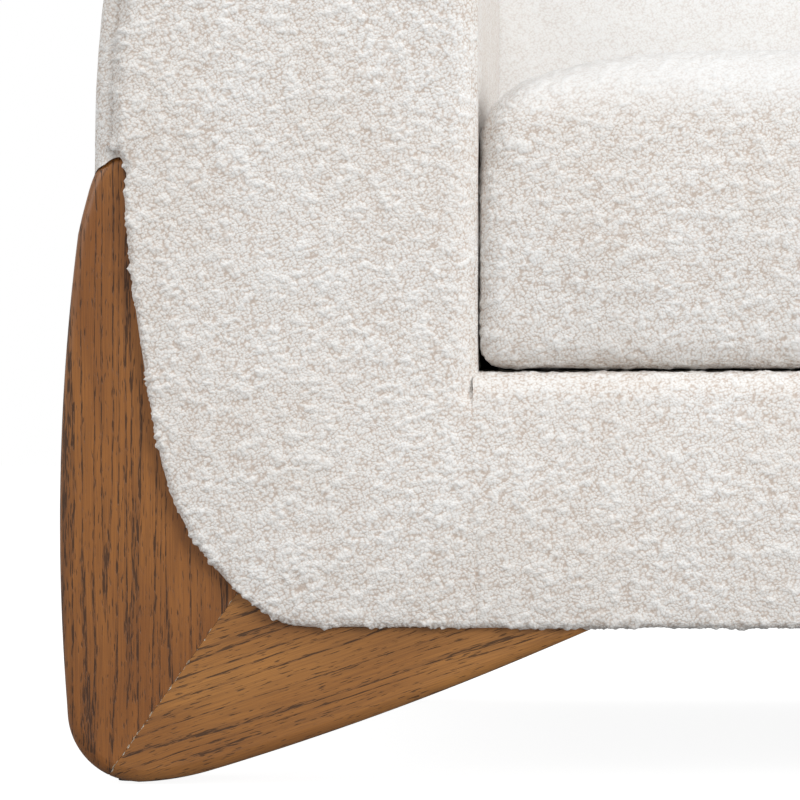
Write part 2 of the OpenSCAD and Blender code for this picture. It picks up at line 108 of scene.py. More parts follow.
class Tree:
    """Short forms for building a node tree, for shaders and for geometry nodes."""

    def __init__(self, tree):
        self.tree = tree

    def node(self, kind, inputs=None, **props):
        n = self.tree.nodes.new(kind)
        for key, value in props.items():
            setattr(n, key, value)
        for key, value in (inputs or {}).items():
            if isinstance(value, bpy.types.NodeSocket):
                self.tree.links.new(value, n.inputs[key])
            else:
                n.inputs[key].default_value = value
        return n

    def math(self, operation, a, b=0.0, c=0.0, clamp=False):
        return self.node("ShaderNodeMath", {0: a, 1: b, 2: c}, operation=operation, use_clamp=clamp).outputs[0]

    def vector(self, operation, a, b=(0, 0, 0)):
        return self.node("ShaderNodeVectorMath", {0: a, 1: b}, operation=operation).outputs[0]

    def noise(self, vector, scale, detail=2.0, roughness=0.5, output="Fac"):
        inputs = {"Vector": vector, "Scale": scale, "Detail": detail, "Roughness": roughness}
        return self.node("ShaderNodeTexNoise", inputs).outputs[output]

    def cells(self, vector, scale, randomness=1.0):
        inputs = {"Vector": vector, "Scale": scale, "Randomness": randomness}
        return self.node("ShaderNodeTexVoronoi", inputs).outputs["Distance"]

    def scale(self, a, factor):
        return self.node("ShaderNodeVectorMath", {0: a, "Scale": factor}, operation="SCALE").outputs[0]

    def attribute(self, name, output="Fac"):
        return self.node("ShaderNodeAttribute", attribute_name=name).outputs[output]

    def remap(self, value, low, high, to_low=0.0, to_high=1.0, smooth=False):
        inputs = {"Value": value, "From Min": low, "From Max": high, "To Min": to_low, "To Max": to_high}
        kind = "SMOOTHSTEP" if smooth else "LINEAR"
        return self.node("ShaderNodeMapRange", inputs, interpolation_type=kind).outputs["Result"]

    def ramp(self, value, stops):
        n = self.node("ShaderNodeValToRGB", {"Fac": value})
        while len(n.color_ramp.elements) < len(stops):
            n.color_ramp.elements.new(0.5)
        for element, (position, colour) in zip(n.color_ramp.elements, stops):
            element.position, element.color = position, srgb(colour)
        return n.outputs["Color"]

    def mix(self, factor, a, b, blend="MIX"):
        inputs = {0: factor, 6: a, 7: b}
        return self.node("ShaderNodeMix", inputs, data_type="RGBA", blend_type=blend).outputs[2]


def srgb(colour):
    """0-255 screen values as a linear colour."""
    c = np.array(colour, float) / 255
    c = np.where(c <= 0.04045, c / 12.92, ((c + 0.055) / 1.055) ** 2.4)
    return (*c, 1.0)


def material(name):
    m = bpy.data.materials.new(name)
    m.use_nodes = True
    m.node_tree.nodes.clear()
    return m, Tree(m.node_tree)


def finish_material(t, colour, bump, distance=0.001, strength=1.0, roughness=0.6, **sockets):
    """Principled shader with a bump and an output."""
    normal = t.node("ShaderNodeBump", {"Height": bump, "Distance": distance, "Strength": strength}).outputs[0]
    inputs = {"Base Color": colour, "Normal": normal, "Roughness": roughness}
    inputs.update({k.replace("_", " "): v for k, v in sockets.items()})
    shader = t.node("ShaderNodeBsdfPrincipled", inputs).outputs[0]
    t.node("ShaderNodeOutputMaterial", {"Surface": shader})


# ---- Boucle ----

LOOP = 0.0058  # distance from one raised boucle loop to the next
THREAD = 0.0018  # distance from one small loop of the ground to the next
LOOP_HEIGHT, THREAD_HEIGHT = 0.0011, 0.0003
WOBBLE = 0.0045  # how unevenly the loops, and the oak's grain, lie
# Ramp from the valleys to the loop tops: the darker, warmer valleys are painted shade in the hollows between the
# loops, on top of the yarn's own slight tone.
BOUCLE_TONES_WITH_VALLEY_SHADE = [(0.0, (201, 187, 176)), (0.2, (222, 214, 207)), (0.48, (235, 233, 230)), (0.9, (244, 244, 243))]
# Light, even colour that the back and the cushion tops are mixed towards: painted light where the light from above
# washes out the valleys' painted shade.
BOUCLE_MEAN = (229, 230, 230)


def wobbled(t, spot, source, scale):
    """spot, moved about by a slow noise over source."""
    noise = t.noise(source, scale, 2.0, output="Color")
    return t.vector("ADD", spot, t.scale(t.vector("SUBTRACT", noise, (0.5, 0.5, 0.5)), WOBBLE))


def boucle_fields(t, rest):
    """The raised loops and the ground's small loops, each 0 in the valleys and 1 on top; rest is in metres."""
    moved = wobbled(t, rest, rest, 90.0)
    turned = t.node("ShaderNodeVectorRotate", {"Vector": moved, "Axis": (0, 1, 0), "Angle": 0.45}).outputs[0]
    loops = t.cells(t.vector("MULTIPLY", turned, (0.8, 0.9, 1.35)), 1 / LOOP)
    threads = t.cells(t.vector("MULTIPLY", turned, (0.92, 0.92, 1.12)), 1 / THREAD, 0.8)
    loops = t.remap(loops, 0.10, 0.80, 1.0, 0.0, True)
    threads = t.remap(threads, 0.18, 0.86, 1.0, 0.0, True)
    some = t.remap(t.noise(rest, 85.0, 2.0), 0.38, 0.62, 0.0, 1.0, True)
    return t.math("MULTIPLY", loops, some), threads


def boucle_material():
    m, t = material("boucle")
    rest, fine = t.attribute("rest", "Vector"), t.attribute("fine")
    loops, threads = boucle_fields(t, rest)
    hairs = t.noise(rest, 1300.0, 2.0, 0.6)
    both = t.math("MULTIPLY_ADD", loops, 0.34, t.math("MULTIPLY", threads, 0.66))
    tone = t.math("MULTIPLY_ADD", t.math("SUBTRACT", hairs, 0.5), 0.35, both)
    # painted shade: the valleys between the loops are coloured darker and warmer
    colour = t.ramp(tone, BOUCLE_TONES_WITH_VALLEY_SHADE)
    patches = t.remap(t.noise(rest, 11.0, 2.0), 0.3, 0.7)
    colour = t.mix(patches, colour, t.mix(1.0, colour, srgb((251, 249, 247)), "MULTIPLY"))
    # painted light: on the back and the cushion tops, where the light from above falls, the colour is evened towards
    # a light mean and the bump is lowered
    lit_evened = t.attribute("lit_evened")
    colour = t.mix(t.math("MULTIPLY", lit_evened, 0.60), colour, srgb(BOUCLE_MEAN))
    keep = t.math("MULTIPLY_ADD", fine, -0.8, 1.0)
    bump = t.math("MULTIPLY_ADD", threads, 0.40, t.math("MULTIPLY", loops, keep))
    bump = t.math("MULTIPLY_ADD", hairs, 0.10, bump)
    bump = t.math("MULTIPLY", bump, t.math("MULTIPLY_ADD", lit_evened, -0.62, 1.0))
    finish_material(t, colour, bump, 0.0012, 0.5, 0.95, Sheen_Weight=0.10, Sheen_Roughness=0.6,
                    Specular_IOR_Level=0.12)
    return m


def nub_group():
    """Geometry nodes that raise the boucle's loops where the mesh is fine enough, and an uneven hand everywhere."""
    g = bpy.data.node_groups.new("boucle_relief", "GeometryNodeTree")
    g.interface.new_socket(name="Geometry", in_out="INPUT", socket_type="NodeSocketGeometry")
    g.interface.new_socket(name="Geometry", in_out="OUTPUT", socket_type="NodeSocketGeometry")
    t = Tree(g)
    start, end = t.node("NodeGroupInput"), t.node("NodeGroupOutput")

    def attribute(name, kind="FLOAT"):
        n = t.node("GeometryNodeInputNamedAttribute", {"Name": name}, data_type=kind)
        return [s for s in n.outputs if s.enabled and s.name == "Attribute"][0]

    rest, fine, rim = attribute("rest", "FLOAT_VECTOR"), attribute("fine"), attribute("rim")
    loops, threads = boucle_fields(t, rest)
    size = t.math("MULTIPLY_ADD", rim, 1.1 * LOOP_HEIGHT, LOOP_HEIGHT)
    relief = t.math("MULTIPLY", t.math("SUBTRACT", loops, 0.25), size)
    ground = t.math("MULTIPLY_ADD", rim, 2.0 * THREAD_HEIGHT, THREAD_HEIGHT)
    relief = t.math("MULTIPLY_ADD", t.math("SUBTRACT", threads, 0.5), ground, relief)
    hand = t.math("SUBTRACT", t.noise(rest, 13.0, 3.0, 0.6), 0.5)
    move = t.math("ADD", t.math("MULTIPLY", relief, fine), t.math("MULTIPLY", hand, 0.0030))
    along = t.scale(t.node("GeometryNodeInputNormal").outputs[0], move)
    put = t.node("GeometryNodeSetPosition", {"Geometry": start.outputs[0], "Offset": along})
    g.links.new(put.outputs[0], end.inputs[0])
    return g


# ---- Mesh helpers ----


def arc(centre, radius, start, end, n):
    a = np.radians(np.linspace(start, end, n + 1))
    return np.stack([centre[0] + radius * np.cos(a), centre[1] + radius * np.sin(a)], 1)


def smooth_step(x, low, high):
    t = np.clip((x - low) / (high - low), 0, 1)
    return t * t * (3 - 2 * t)


def resample(loop, step, closed=True):
    """Points evenly spaced along a polyline; step may be a number or a function of the points."""
    pts = np.vstack([loop, loop[:1]]) if closed else np.array(loop)
    length = np.r_[0, np.cumsum(np.linalg.norm(np.diff(pts, axis=0), axis=1))]
    keep = np.r_[True, np.diff(length) > 1e-9]
    pts, length = pts[keep], length[keep]
    if callable(step):
        fine = np.linspace(0, length[-1], 4000)
        place = np.stack([np.interp(fine, length, pts[:, k]) for k in range(pts.shape[1])], 1)
        count = np.r_[0, np.cumsum(np.diff(fine) / step(place)[:-1])]
        n = int(round(count[-1]))
        at = np.interp(np.linspace(0, count[-1], n + 1), count, fine)
    else:
        at = np.linspace(0, length[-1], int(round(length[-1] / step)) + 1)
    out = np.stack([np.interp(at, length, pts[:, k]) for k in range(pts.shape[1])], 1)
    return out[:-1] if closed else out


def inward(loop):
    """Unit normals that point into a counter-clockwise closed loop."""
    d = np.roll(loop, -1, 0) - np.roll(loop, 1, 0)
    d /= np.maximum(np.linalg.norm(d, axis=1, keepdims=True), 1e-12)
    return np.stack([-d[:, 1], d[:, 0]], 1)


def around(values, width):
    """Running mean round a closed loop."""
    kernel = np.ones(width) / width
    padded = np.r_[values[-width:], values, values[:width]]
    return np.convolve(padded, kernel, "same")[width:-width]


def rounded(low, high, radii, n=14):
    """Counter-clockwise rectangle with radii at lower left, lower right, upper right and upper left."""
    (x0, z0), (x1, z1) = low, high
    a, b, c, d = radii
    return np.vstack([
        arc((x0 + a, z0 + a), a, 180, 270, n), arc((x1 - b, z0 + b), b, 270, 360, n),
        arc((x1 - c, z1 - c), c, 0, 90, n), arc((x0 + d, z1 - d), d, 90, 180, n)])


def new_object(name, points, faces):
    mesh = bpy.data.meshes.new(name)
    mesh.from_pydata(np.asarray(points).tolist(), [], [list(map(int, f)) for f in faces])
    mesh.validate()
    return link(bpy.data.objects.new(name, mesh))


def points_of(obj):
    co = np.empty(len(obj.data.vertices) * 3)
    obj.data.vertices.foreach_get("co", co)
    return co.reshape(-1, 3)


def set_points(obj, co):
    obj.data.vertices.foreach_set("co", np.ascontiguousarray(co, float).ravel())
    obj.data.update()


def set_attribute(obj, name, values, kind="FLOAT"):
    old = obj.data.attributes.get(name)
    if old:
        obj.data.attributes.remove(old)
    data = obj.data.attributes.new(name, kind, "POINT").data
    data.foreach_set("value" if kind == "FLOAT" else "vector", np.ascontiguousarray(values, np.float32).ravel())


def apply_modifiers(obj):
    dg = bpy.context.evaluated_depsgraph_get()
    mesh = bpy.data.meshes.new_from_object(obj.evaluated_get(dg), preserve_all_data_layers=True, depsgraph=dg)
    obj.modifiers.clear()
    old, name = obj.data, obj.data.name
    obj.data = mesh
    bpy.data.meshes.remove(old)
    mesh.name = name


def fix_normals(obj, split=False):
    """Turns all faces outwards, with the large end faces split into triangles first if split."""
    bm = bmesh.new()
    bm.from_mesh(obj.data)
    if split:
        split_large(bm)
    bmesh.ops.recalc_face_normals(bm, faces=bm.faces)
    bm.to_mesh(obj.data)
    bm.free()


def split_large(bm):
    bmesh.ops.triangulate(bm, faces=[f for f in bm.faces if len(f.verts) > 4])


def tube(name, grid):
    """Closed piece through a stack of rings; grid is rings by points by X, Y, Z."""
    m, n = grid.shape[:2]
    i = np.arange(n)
    j = (i + 1) % n
    quads = np.vstack([np.stack([k + i, k + j, k + n + j, k + n + i], 1) for k in range(0, (m - 1) * n, n)])
    obj = new_object(name, grid.reshape(-1, 3), quads.tolist() + [i, (m - 1) * n + i[::-1]])
    fix_normals(obj)
    return obj


def slab(name, co, tris, ring, y, rim_y):
    """Closed piece from a meshed outline: its face at y, its rim carried to rim_y, and a flat end there."""
    front = np.column_stack([co[:, 0], y, co[:, 1]])
    rim = front[ring]
    rim[:, 1] = rim_y
    n0, n = len(front), len(ring)
    faces = [tuple(t) for t in tris] + [(ring[i], n0 + i, n0 + (i + 1) % n, ring[(i + 1) % n]) for i in range(n)]
    obj = new_object(name, np.vstack([front, rim]), faces + [range(n0, n0 + n)])
    fix_normals(obj, split=True)
    return obj


def skin(bm, rings):
    """Adds quads through rings of points; gives back each ring's vertices."""
    rows = [[bm.verts.new(p) for p in ring] for ring in rings]
    for a, b in zip(rows, rows[1:]):
        bridge(bm, a, b)
    return rows


def bridge(bm, a, b):
    for i in range(len(a)):
        j = (i + 1) % len(a)
        bm.faces.new((a[i], a[j], b[j], b[i]))


def cap(bm, rows):
    return [bm.faces.new(rows[0][::-1]), bm.faces.new(rows[-1])]


def mirrored(obj, name, axis=0):
    """Mirror image of a piece, for the right-hand side, or with axis 1 for the rear."""
    copy = link(obj.copy())
    copy.data = obj.data.copy()
    copy.name = copy.data.name = name
    co = points_of(copy)
    co[:, axis] *= -1
    set_points(copy, co)
    copy.data.flip_normals()
    return copy


# ---- Outlines, (u, z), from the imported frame's arcs ----

SIDE_C, SIDE_R = (1.457, 0.165), 1.457
CORNER_C, CORNER_R = (0.0497, 0.0468), 0.045
FOOT_C, FOOT_R = (0.0436, 0.1835), 0.182
FOOT_END, UNDER_END, UNDER_R = 16.9, 24.2, 2.0
UNDER_C = (FOOT_C[0] - (UNDER_R - FOOT_R) * math.sin(math.radians(FOOT_END)),
           FOOT_C[1] + (UNDER_R - FOOT_R) * math.cos(math.radians(FOOT_END)))
TIP = [(0.0492, 0.3866), (0.0478, 0.3912), (0.0452, 0.3948), (0.0416, 0.3969), (0.0382, 0.3976), (0.0347, 0.3971),
       (0.0315, 0.3956), (0.0275, 0.3924), (0.0231, 0.3873), (0.0196, 0.3790), (0.0168, 0.3692), (0.0141, 0.3590)]
EDGE_SIDE_C, EDGE_SIDE_R = (1.3433, 0.466), 1.305
EDGE_CORNER_C, EDGE_CORNER_R = (0.2190, 0.2400), 0.158
JOIN_Z, TUCK = 0.198, 0.006
TOE = [(0.1600, 0.1000), (0.1490, 0.1010), (0.1400, 0.1036)]  # where the fabric's edge runs out into its lower edge
MITRE_AT, MITRE_ANGLE = (0.0358, 0.0128), math.radians(54.6)
BOTTOM = RAIL[0].z
SEAM_U = 0.2632  # seam between the arm's panel and the rail


def edge_curve(inset, z_top, n_side=60, n_corner=70):
    """Line where upholstery and wood meet, from the bottom up."""
    r, c = EDGE_CORNER_R - inset, EDGE_CORNER_C
    low = 180 + (math.degrees(math.asin((c[1] - BOTTOM) / r)) if inset else 56)
    high = 180 + math.degrees(math.asin((c[1] - JOIN_Z) / r))
    corner = arc(c, r, low, high, n_corner)
    r, c = EDGE_SIDE_R - inset, EDGE_SIDE_C
    side = arc(c, r, 180 + math.degrees(math.asin((c[1] - JOIN_Z) / r)),
               180 + math.degrees(math.asin((c[1] - z_top) / r)), n_side)
    return np.vstack([corner, side[1:]])


def leg_loop():
    """Counter-clockwise outline of one leg, and the radius of its rounded edge at each point."""
    dome = spline(TIP, 3)
    side = arc(SIDE_C, SIDE_R, 172.8, 184.5, 44)
    corner = arc(CORNER_C, CORNER_R, 183, 266, 22)
    foot = arc(FOOT_C, FOOT_R, 272, 270 + FOOT_END, 12)
    under = arc(UNDER_C, UNDER_R, 270 + FOOT_END + 0.25, 270 + UNDER_END, 34)
    inner = edge_curve(TUCK, TIP[0][1] - 0.004, 40, 34)
    flat = np.linspace((under[-1][0], BOTTOM), (inner[0][0] + 0.002, BOTTOM), 26)
    parts = [dome, side, corner, foot, under, flat, inner]
    soft = np.interp(np.arange(len(dome)), [0, 4, 14, len(dome) - 1], [0.0006, 0.0060, 0.0085, 0.0085])
    side_soft = np.interp(np.arange(len(side)), [0, 14, len(side) - 1], [0.0085, 0.0080, 0.0080])
    under_soft = np.minimum(0.007, 0.45 * (BOTTOM - under[:, 1]) + 0.0004)
    radii = [soft, side_soft, np.full(len(corner), 0.009), np.full(len(foot), 0.008), under_soft,
             np.full(len(flat), 0.0005), np.full(len(inner), 0.0006)]
    return np.vstack(parts), np.concatenate(radii)


def spline(points, cuts):
    """Catmull-Rom curve through points, cuts pieces between each two."""
    p = np.array(points)
    p = np.vstack([2 * p[0] - p[1], p, 2 * p[-1] - p[-2]])
    t = np.linspace(0, 1, cuts, endpoint=False)[:, None]
    out = [0.5 * (2 * b + (c - a) * t + (2 * a - 5 * b + 4 * c - d) * t ** 2 + (3 * b - a - 3 * c + d) * t ** 3)
           for a, b, c, d in zip(p[:-3], p[1:-2], p[2:-1], p[3:])]
    return np.vstack(out + [p[-2:-1]])


OUTER_SIDE_R = 0.813  # curve of the arm's outer side above the leg


def arm_section(step):
    """Outline of the arm seen from the front, its outer side gently curved, and the end rounding at each point."""
    (u0, z0), (u1, z1) = (ARM[0].x - LEFT, BOTTOM), (ARM[1].x - LEFT - 0.0006, ARM[1].z)
    loop = resample(rounded((u0, z0), (u1, z1), (0.095, 0.006, 0.070, 0.095), 24), step)
    share = 1 - smooth_step(loop[:, 0], u0 + 0.02, u1)
    rise = np.maximum(0, loop[:, 1] - 0.397)
    loop[:, 0] += share * rise ** 2 / (2 * OUTER_SIDE_R)
    n = inward(loop)
    radii = np.where(n[:, 1] < -0.7, 0.050, np.where(n[:, 1] > 0.7, 0.010, np.where(n[:, 0] > 0, 0.030, 0.018)))
    return loop, around(radii, max(3, int(0.05 / step)))


def end_inset(radius, e):
    """How far an end that is rounded with radius pulls in, e from its end plane."""
    gap = np.maximum(0, radius - e)
    return radius - np.sqrt(np.maximum(0, radius ** 2 - gap ** 2))


SETBACK = PANEL[1].y - PANEL[0].y
PANEL_EDGE_Z = 0.4060
BOXING = 0.0042  # how far the outer side's boxing shows round the end panel


def panel_loop(step):
    """Counter-clockwise outline of an arm's padded end panel, and the rounding at each point."""
    section, radii = arm_section(0.002)
    outer = smooth_step(inward(section)[:, 0], 0.5, 1.0)
    loop = section + inward(section) * (end_inset(radii, SETBACK) + BOXING * outer)[:, None]
    radii = radii * (1 - outer) + 0.011 * outer
    use = (loop[:, 1] > PANEL_EDGE_Z) & ((loop[:, 0] < SEAM_U - 0.004) | (loop[:, 1] > 0.45))
    first = np.argmax(use & ~np.roll(use, 1))
    order = np.roll(np.arange(len(loop)), -first)
    order = order[use[order]]
    top, top_r = loop[order], radii[order]
    inner = np.array([(SEAM_U, BOTTOM), (SEAM_U, top[0][1] - 0.02)])
    tip = np.array([(0.0300, 0.4030), (0.0330, 0.4003), (0.0365, 0.3978), (0.0398, 0.3943), (0.0418, 0.3902),
                    (0.0426, 0.3855), (0.0428, 0.3800)])
    edge = np.vstack([TOE, edge_curve(0.0, 0.375)])[::-1]
    pts = np.vstack([inner, top, tip, edge])
    rad = np.r_[[0.018, 0.018], top_r, np.linspace(0.0110, 0.0045, len(tip)), np.full(len(edge), 0.0045)]
    out = resample(np.column_stack([pts, rad]), step)
    low = out[:, 1] < BOTTOM + 0.0005
    out[low, 2] = 0.0045
    return out[:, :2], out[:, 2]


# ---- The front's one continuous face ----

CROWN, CROWN_REACH = 0.0062, 0.038
FACE = FRONT + 0.0028
RAIL_TOP = RAIL[1].z + 0.0046


class Face:
    """Distance to the nearest free edge of the front upholstery, and the padded face that follows from it."""

    def __init__(self):
        loop, radii = panel_loop(0.001)
        free = (loop[:, 0] < SEAM_U - 1e-4) | (loop[:, 1] > RAIL_TOP - 0.010)
        u = np.arange(SEAM_U, -LEFT, 0.002)
        bottom = np.column_stack([u, np.full_like(u, BOTTOM), np.full_like(u, 0.0045)])
        top = np.column_stack([u, np.full_like(u, RAIL_TOP - 0.006), np.full_like(u, 0.018)])
        pts = np.vstack([np.column_stack([loop, radii])[free], bottom, top])
        self.radii = pts[:, 2]
        self.tree = kdtree.KDTree(len(pts))
        for i, p in enumerate(pts):
            self.tree.insert((p[0], p[1], 0), i)
        self.tree.balance()

    def depth(self, uz, rim=True):
        """y of the face at each (u, z), and the distance to the nearest free edge."""
        found = [self.tree.find((a, b, 0)) for a, b in uz]
        d = np.array([f[2] for f in found])
        y = FACE - CROWN * (1 - np.exp(-d / CROWN_REACH))
        if rim:
            r = self.radii[[f[1] for f in found]]
            e0 = np.where(r > SETBACK, end_inset(r, SETBACK), 0.0)
            y = y + end_inset(r, d + e0)
        return y, d


def inside(pts, loop):
    """Even-odd test of points against a closed loop."""
    a, b = loop, np.roll(loop, -1, 0)
    hit = np.zeros(len(pts), bool)
    for (x0, z0), (x1, z1) in zip(a, b):
        if z0 != z1:
            cross = (pts[:, 1] > min(z0, z1)) & (pts[:, 1] <= max(z0, z1))
            hit ^= cross & (pts[:, 0] < x0 + (pts[:, 1] - z0) * (x1 - x0) / (z1 - z0))
    return hit


def hexagons(low, high, step):
    u = np.arange(low[0], high[0], step)
    z = np.arange(low[1], high[1], step * 0.866)
    grid = np.stack(np.meshgrid(u, z), -1)
    grid[1::2, :, 0] += step / 2
    return grid.reshape(-1, 2)


def sheet_mesh(loop, pts):
    """Triangles over the inside of a loop, with pts as inner points: (points, faces)."""
    n = len(loop)
    both = np.vstack([loop, pts])
    edges = [(i, (i + 1) % n) for i in range(n)]
    co, _, tris, origin, _, _ = geometry.delaunay_2d_cdt([Vector(p) for p in both], edges, [], 1, 1e-7)
    co = np.array([tuple(p) for p in co])
    ring = {}
    for new, old in enumerate(origin):
        for o in old:
            if o < n:
                ring[o] = new
    return co, tris, [ring[i] for i in range(n)]


def panel_piece(name, face, step, fine):
    """One padded end panel of an arm: a crowned face on its own outline, with a rim and a flat hidden back."""
    edge_step = step if fine else step * 0.7
    loop, _ = panel_loop(edge_step)
    low, high = (0.02, BOTTOM), (SEAM_U + 0.004, ARM[1].z)
    pts = hexagons(low, high, step)
    if fine:
        coarse = hexagons(low, high, 0.0035)
        pts = np.vstack([pts[pts[:, 1] < 0.512], coarse[coarse[:, 1] > 0.514]])
    pts = pts[inside(pts, loop)]
    tree = kdtree.KDTree(len(loop))
    for i, p in enumerate(loop):
        tree.insert((p[0], p[1], 0), i)
    tree.balance()
    gap = np.array([tree.find((a, b, 0))[2] for a, b in pts])
    pts = pts[gap > 0.55 * edge_step]
    co, tris, ring = sheet_mesh(loop, pts)
    y, d = face.depth(co)
    obj = slab(name, co + (LEFT, 0), tris, ring, y, np.maximum(FRONT + SETBACK - 0.0004, y[ring] + 0.0002))
    n0 = len(co)
    mask, edge = np.zeros((2, n0 + len(ring)))
    if fine:
        mask[:n0] = 1 - smooth_step(co[:, 1], 0.508, 0.514)
    edge[:n0] = (1 - smooth_step(d, 0.001, 0.006)) * (co[:, 0] < SEAM_U - 0.01)
    set_attribute(obj, "fine", mask)
    set_attribute(obj, "rim", edge)
    return obj


FINE = 0.00135  # mesh step where the loops are raised
OVERLAP = 0.0020  # the rail cover runs this far behind the panels it is sewn to


def rail_piece(face):
    """The front rail's cover: one roll of fabric from under the rail up over its front and back to the deck."""
    bottom_r, top_r = 0.0045, 0.016
    y0, top = FACE, RAIL_TOP
    rear = RAIL[1].y
    line = np.vstack([
        [(rear, BOTTOM), (y0 + 0.010, BOTTOM)], arc((y0 + bottom_r, BOTTOM + bottom_r), bottom_r, 270, 180, 8),
        arc((y0 + top_r, top - top_r), top_r, 180, 90, 20), [(rear, top)]])
    profile = resample(line, lambda p: np.where(p[:, 0] > y0 + 0.045, 0.006, FINE), closed=False)
    fine_end = LEFT + 0.49
    x = np.r_[np.arange(LEFT + SEAM_U - OVERLAP, fine_end, FINE),
              np.linspace(fine_end, -LEFT - SEAM_U + OVERLAP, int((-LEFT - SEAM_U - fine_end) / 0.0045))]
    n, m = len(profile), len(x)
    grid = np.empty((m, n, 3))
    grid[:, :, 0] = x[:, None]
    grid[:, :, 1:] = profile[None]
    u = -LEFT - np.abs(grid[:, :, 0])
    flat_z = np.clip(grid[:, :, 2], BOTTOM, top)
    y, d = face.depth(np.column_stack([u.ravel(), flat_z.ravel()]), rim=False)
    y, d = y.reshape(m, n), d.reshape(m, n)
    facing = 1 - smooth_step(profile[:, 0], y0 + 0.002, y0 + 0.022)
    grid[:, :, 1] += (y - FACE) * facing[None]
    seam = np.exp(-(((u - SEAM_U) / 0.0022) ** 2)) * (1 - smooth_step(grid[:, :, 2], 0.12, 0.21))
    grid[:, :, 1] += (0.0004 + 0.0006 * seam) * facing[None]
    obj = tube("front_rail_cover", grid)
    fine = np.repeat(1 - smooth_step(x, fine_end - 0.012, fine_end - 0.002), n)
    front = np.tile(1 - smooth_step(profile[:, 0], y0 + 0.035, y0 + 0.043), m)
    set_attribute(obj, "fine", fine * front)
    low = np.tile(1 - smooth_step(profile[:, 1], BOTTOM + 0.001, BOTTOM + 0.006), m)
    set_attribute(obj, "rim", low * fine * 0.6)
    return obj


# ---- Arms ----


def leg_tuck(y, z):
    """How far the fabric turns in where it meets the back of a leg."""
    gap = np.abs(np.abs(y) - abs(POST[1].y))
    return 0.0050 * np.exp(-gap / 0.0045) * (1 - smooth_step(z, 0.36, 0.385)) * smooth_step(z, 0.10, 0.11)


def arm_piece():
    """The arm's cover behind its end panels, cut out round both legs."""
    section, radii = arm_section(0.0052)
    n = len(section)
    normal = inward(section)
    y_end = abs(FRONT) - SETBACK
    near = 0.06 * (1 - np.cos(np.linspace(0, np.pi / 2, 18)))
    y = np.r_[-y_end + near, np.linspace(-y_end + near[-1], y_end - near[-1], 130)[1:-1], (y_end - near)[::-1]]
    e = abs(FRONT) - np.abs(y)
    m = len(y)
    grid = np.empty((m, n, 3))
    side = smooth_step(normal[:, 0], 0.5, 1.0)
    for k in range(m):
        inset = end_inset(radii, e[k])
        crown = 0.0035 * math.sin(math.pi * (k + 0.5) / m) ** 0.5
        seam = 0.0012 * math.exp(-(((e[k] - SETBACK) / 0.003) ** 2))
        tuck = leg_tuck(y[k], section[:, 1]) * side
        inset = inset * (1 - side) + end_inset(0.010, e[k] - SETBACK + 0.001) * side
        flat = section + normal * (inset + seam - crown * side + tuck)[:, None]
        grid[k, :, 0], grid[k, :, 1], grid[k, :, 2] = flat[:, 0] + LEFT, y[k], flat[:, 1]
    obj = tube("arm_cover_left", grid)
    for end in (1, -1):
        bm = leg_mesh(-0.0002)
        if end < 0:
            bmesh.ops.scale(bm, vec=(1, -1, 1), verts=bm.verts)
            bmesh.ops.reverse_faces(bm, faces=bm.faces)
        cutter = new_object("cutter", [], [])
        bm.to_mesh(cutter.data)
        bm.free()
        cut = obj.modifiers.new("cut", "BOOLEAN")
        cut.operation, cut.solver, cut.object = "DIFFERENCE", "EXACT", cutter
        apply_modifiers(obj)
        bpy.data.objects.remove(cutter)
    return obj


def sweep_x(name, section, radii, x0, x1, step, bulge):
    """A padded roll along X with rounded ends and its caps drawn in towards the middle."""
    n = len(section)
    normal = inward(section)
    reach = radii.max()
    near = reach * (1 - np.cos(np.linspace(0, np.pi / 2, 12)))
    x = np.r_[x0 + near, np.linspace(x0 + near[-1], x1 - near[-1], int((x1 - x0) / step))[1:-1], (x1 - near)[::-1]]
    e = np.minimum(x - x0, x1 - x)
    m = len(x)
    grid = np.empty((m, n, 3))
    for k in range(m):
        flat = section + normal * (end_inset(radii, e[k]) - bulge(x[k], section, normal))[:, None]
        grid[k, :, 0], grid[k, :, 1:] = x[k], flat
    return tube(name, grid)


# ---- Back ----

LEAN = math.radians(10.5)
TUCKED_IN = 0.0045  # the back's ends run this far into the arms


def back_section(step):
    y0, z0, y1, z1 = BACK[0].y, BACK[0].z, BACK[1].y, BACK[1].z
    top_r, rear_r = 0.070, 0.030
    rise = z1 - top_r + top_r * math.sin(LEAN) - z0
    top_y = y0 + rise * math.tan(LEAN) + top_r * math.cos(LEAN)
    loop = np.vstack([
        [(y0 + 0.001, z0 + 0.004), (y0 + 0.005, z0), (y1 - 0.004, z0), (y1, z0 + 0.004)],
        arc((y1 - rear_r, z1 - rear_r), rear_r, 0, 90, 10),
        arc((top_y, z1 - top_r), top_r, 90, 180 - math.degrees(LEAN), 16)])
    return resample(loop, step)


def back_piece():
    section = back_section(0.0068)
    radii = around(np.where(section[:, 1] > ARM[1].z, 0.024, 0.004), 15)

    def bulge(x, pts, n):
        across = 1 - (abs(x) / abs(BACK[0].x)) ** 4
        up = np.clip((pts[:, 1] - BACK[0].z) / (BACK[1].z - BACK[0].z), 0, 1)
        face = smooth_step(n[:, 0], 0.2, 0.9)
        crest = smooth_step(-n[:, 1], 0.3, 0.95)
        return 0.013 * across * face * np.sin(np.pi * np.clip(up * 1.02, 0, 1)) ** 0.7 + 0.006 * across * crest

    return sweep_x("back_cover", section, radii, BACK[0].x - TUCKED_IN, BACK[1].x + TUCKED_IN, 0.0075, bulge)


WRAP = 0.0035  # the outer back's cover is folded this far round the ends of the back's frame


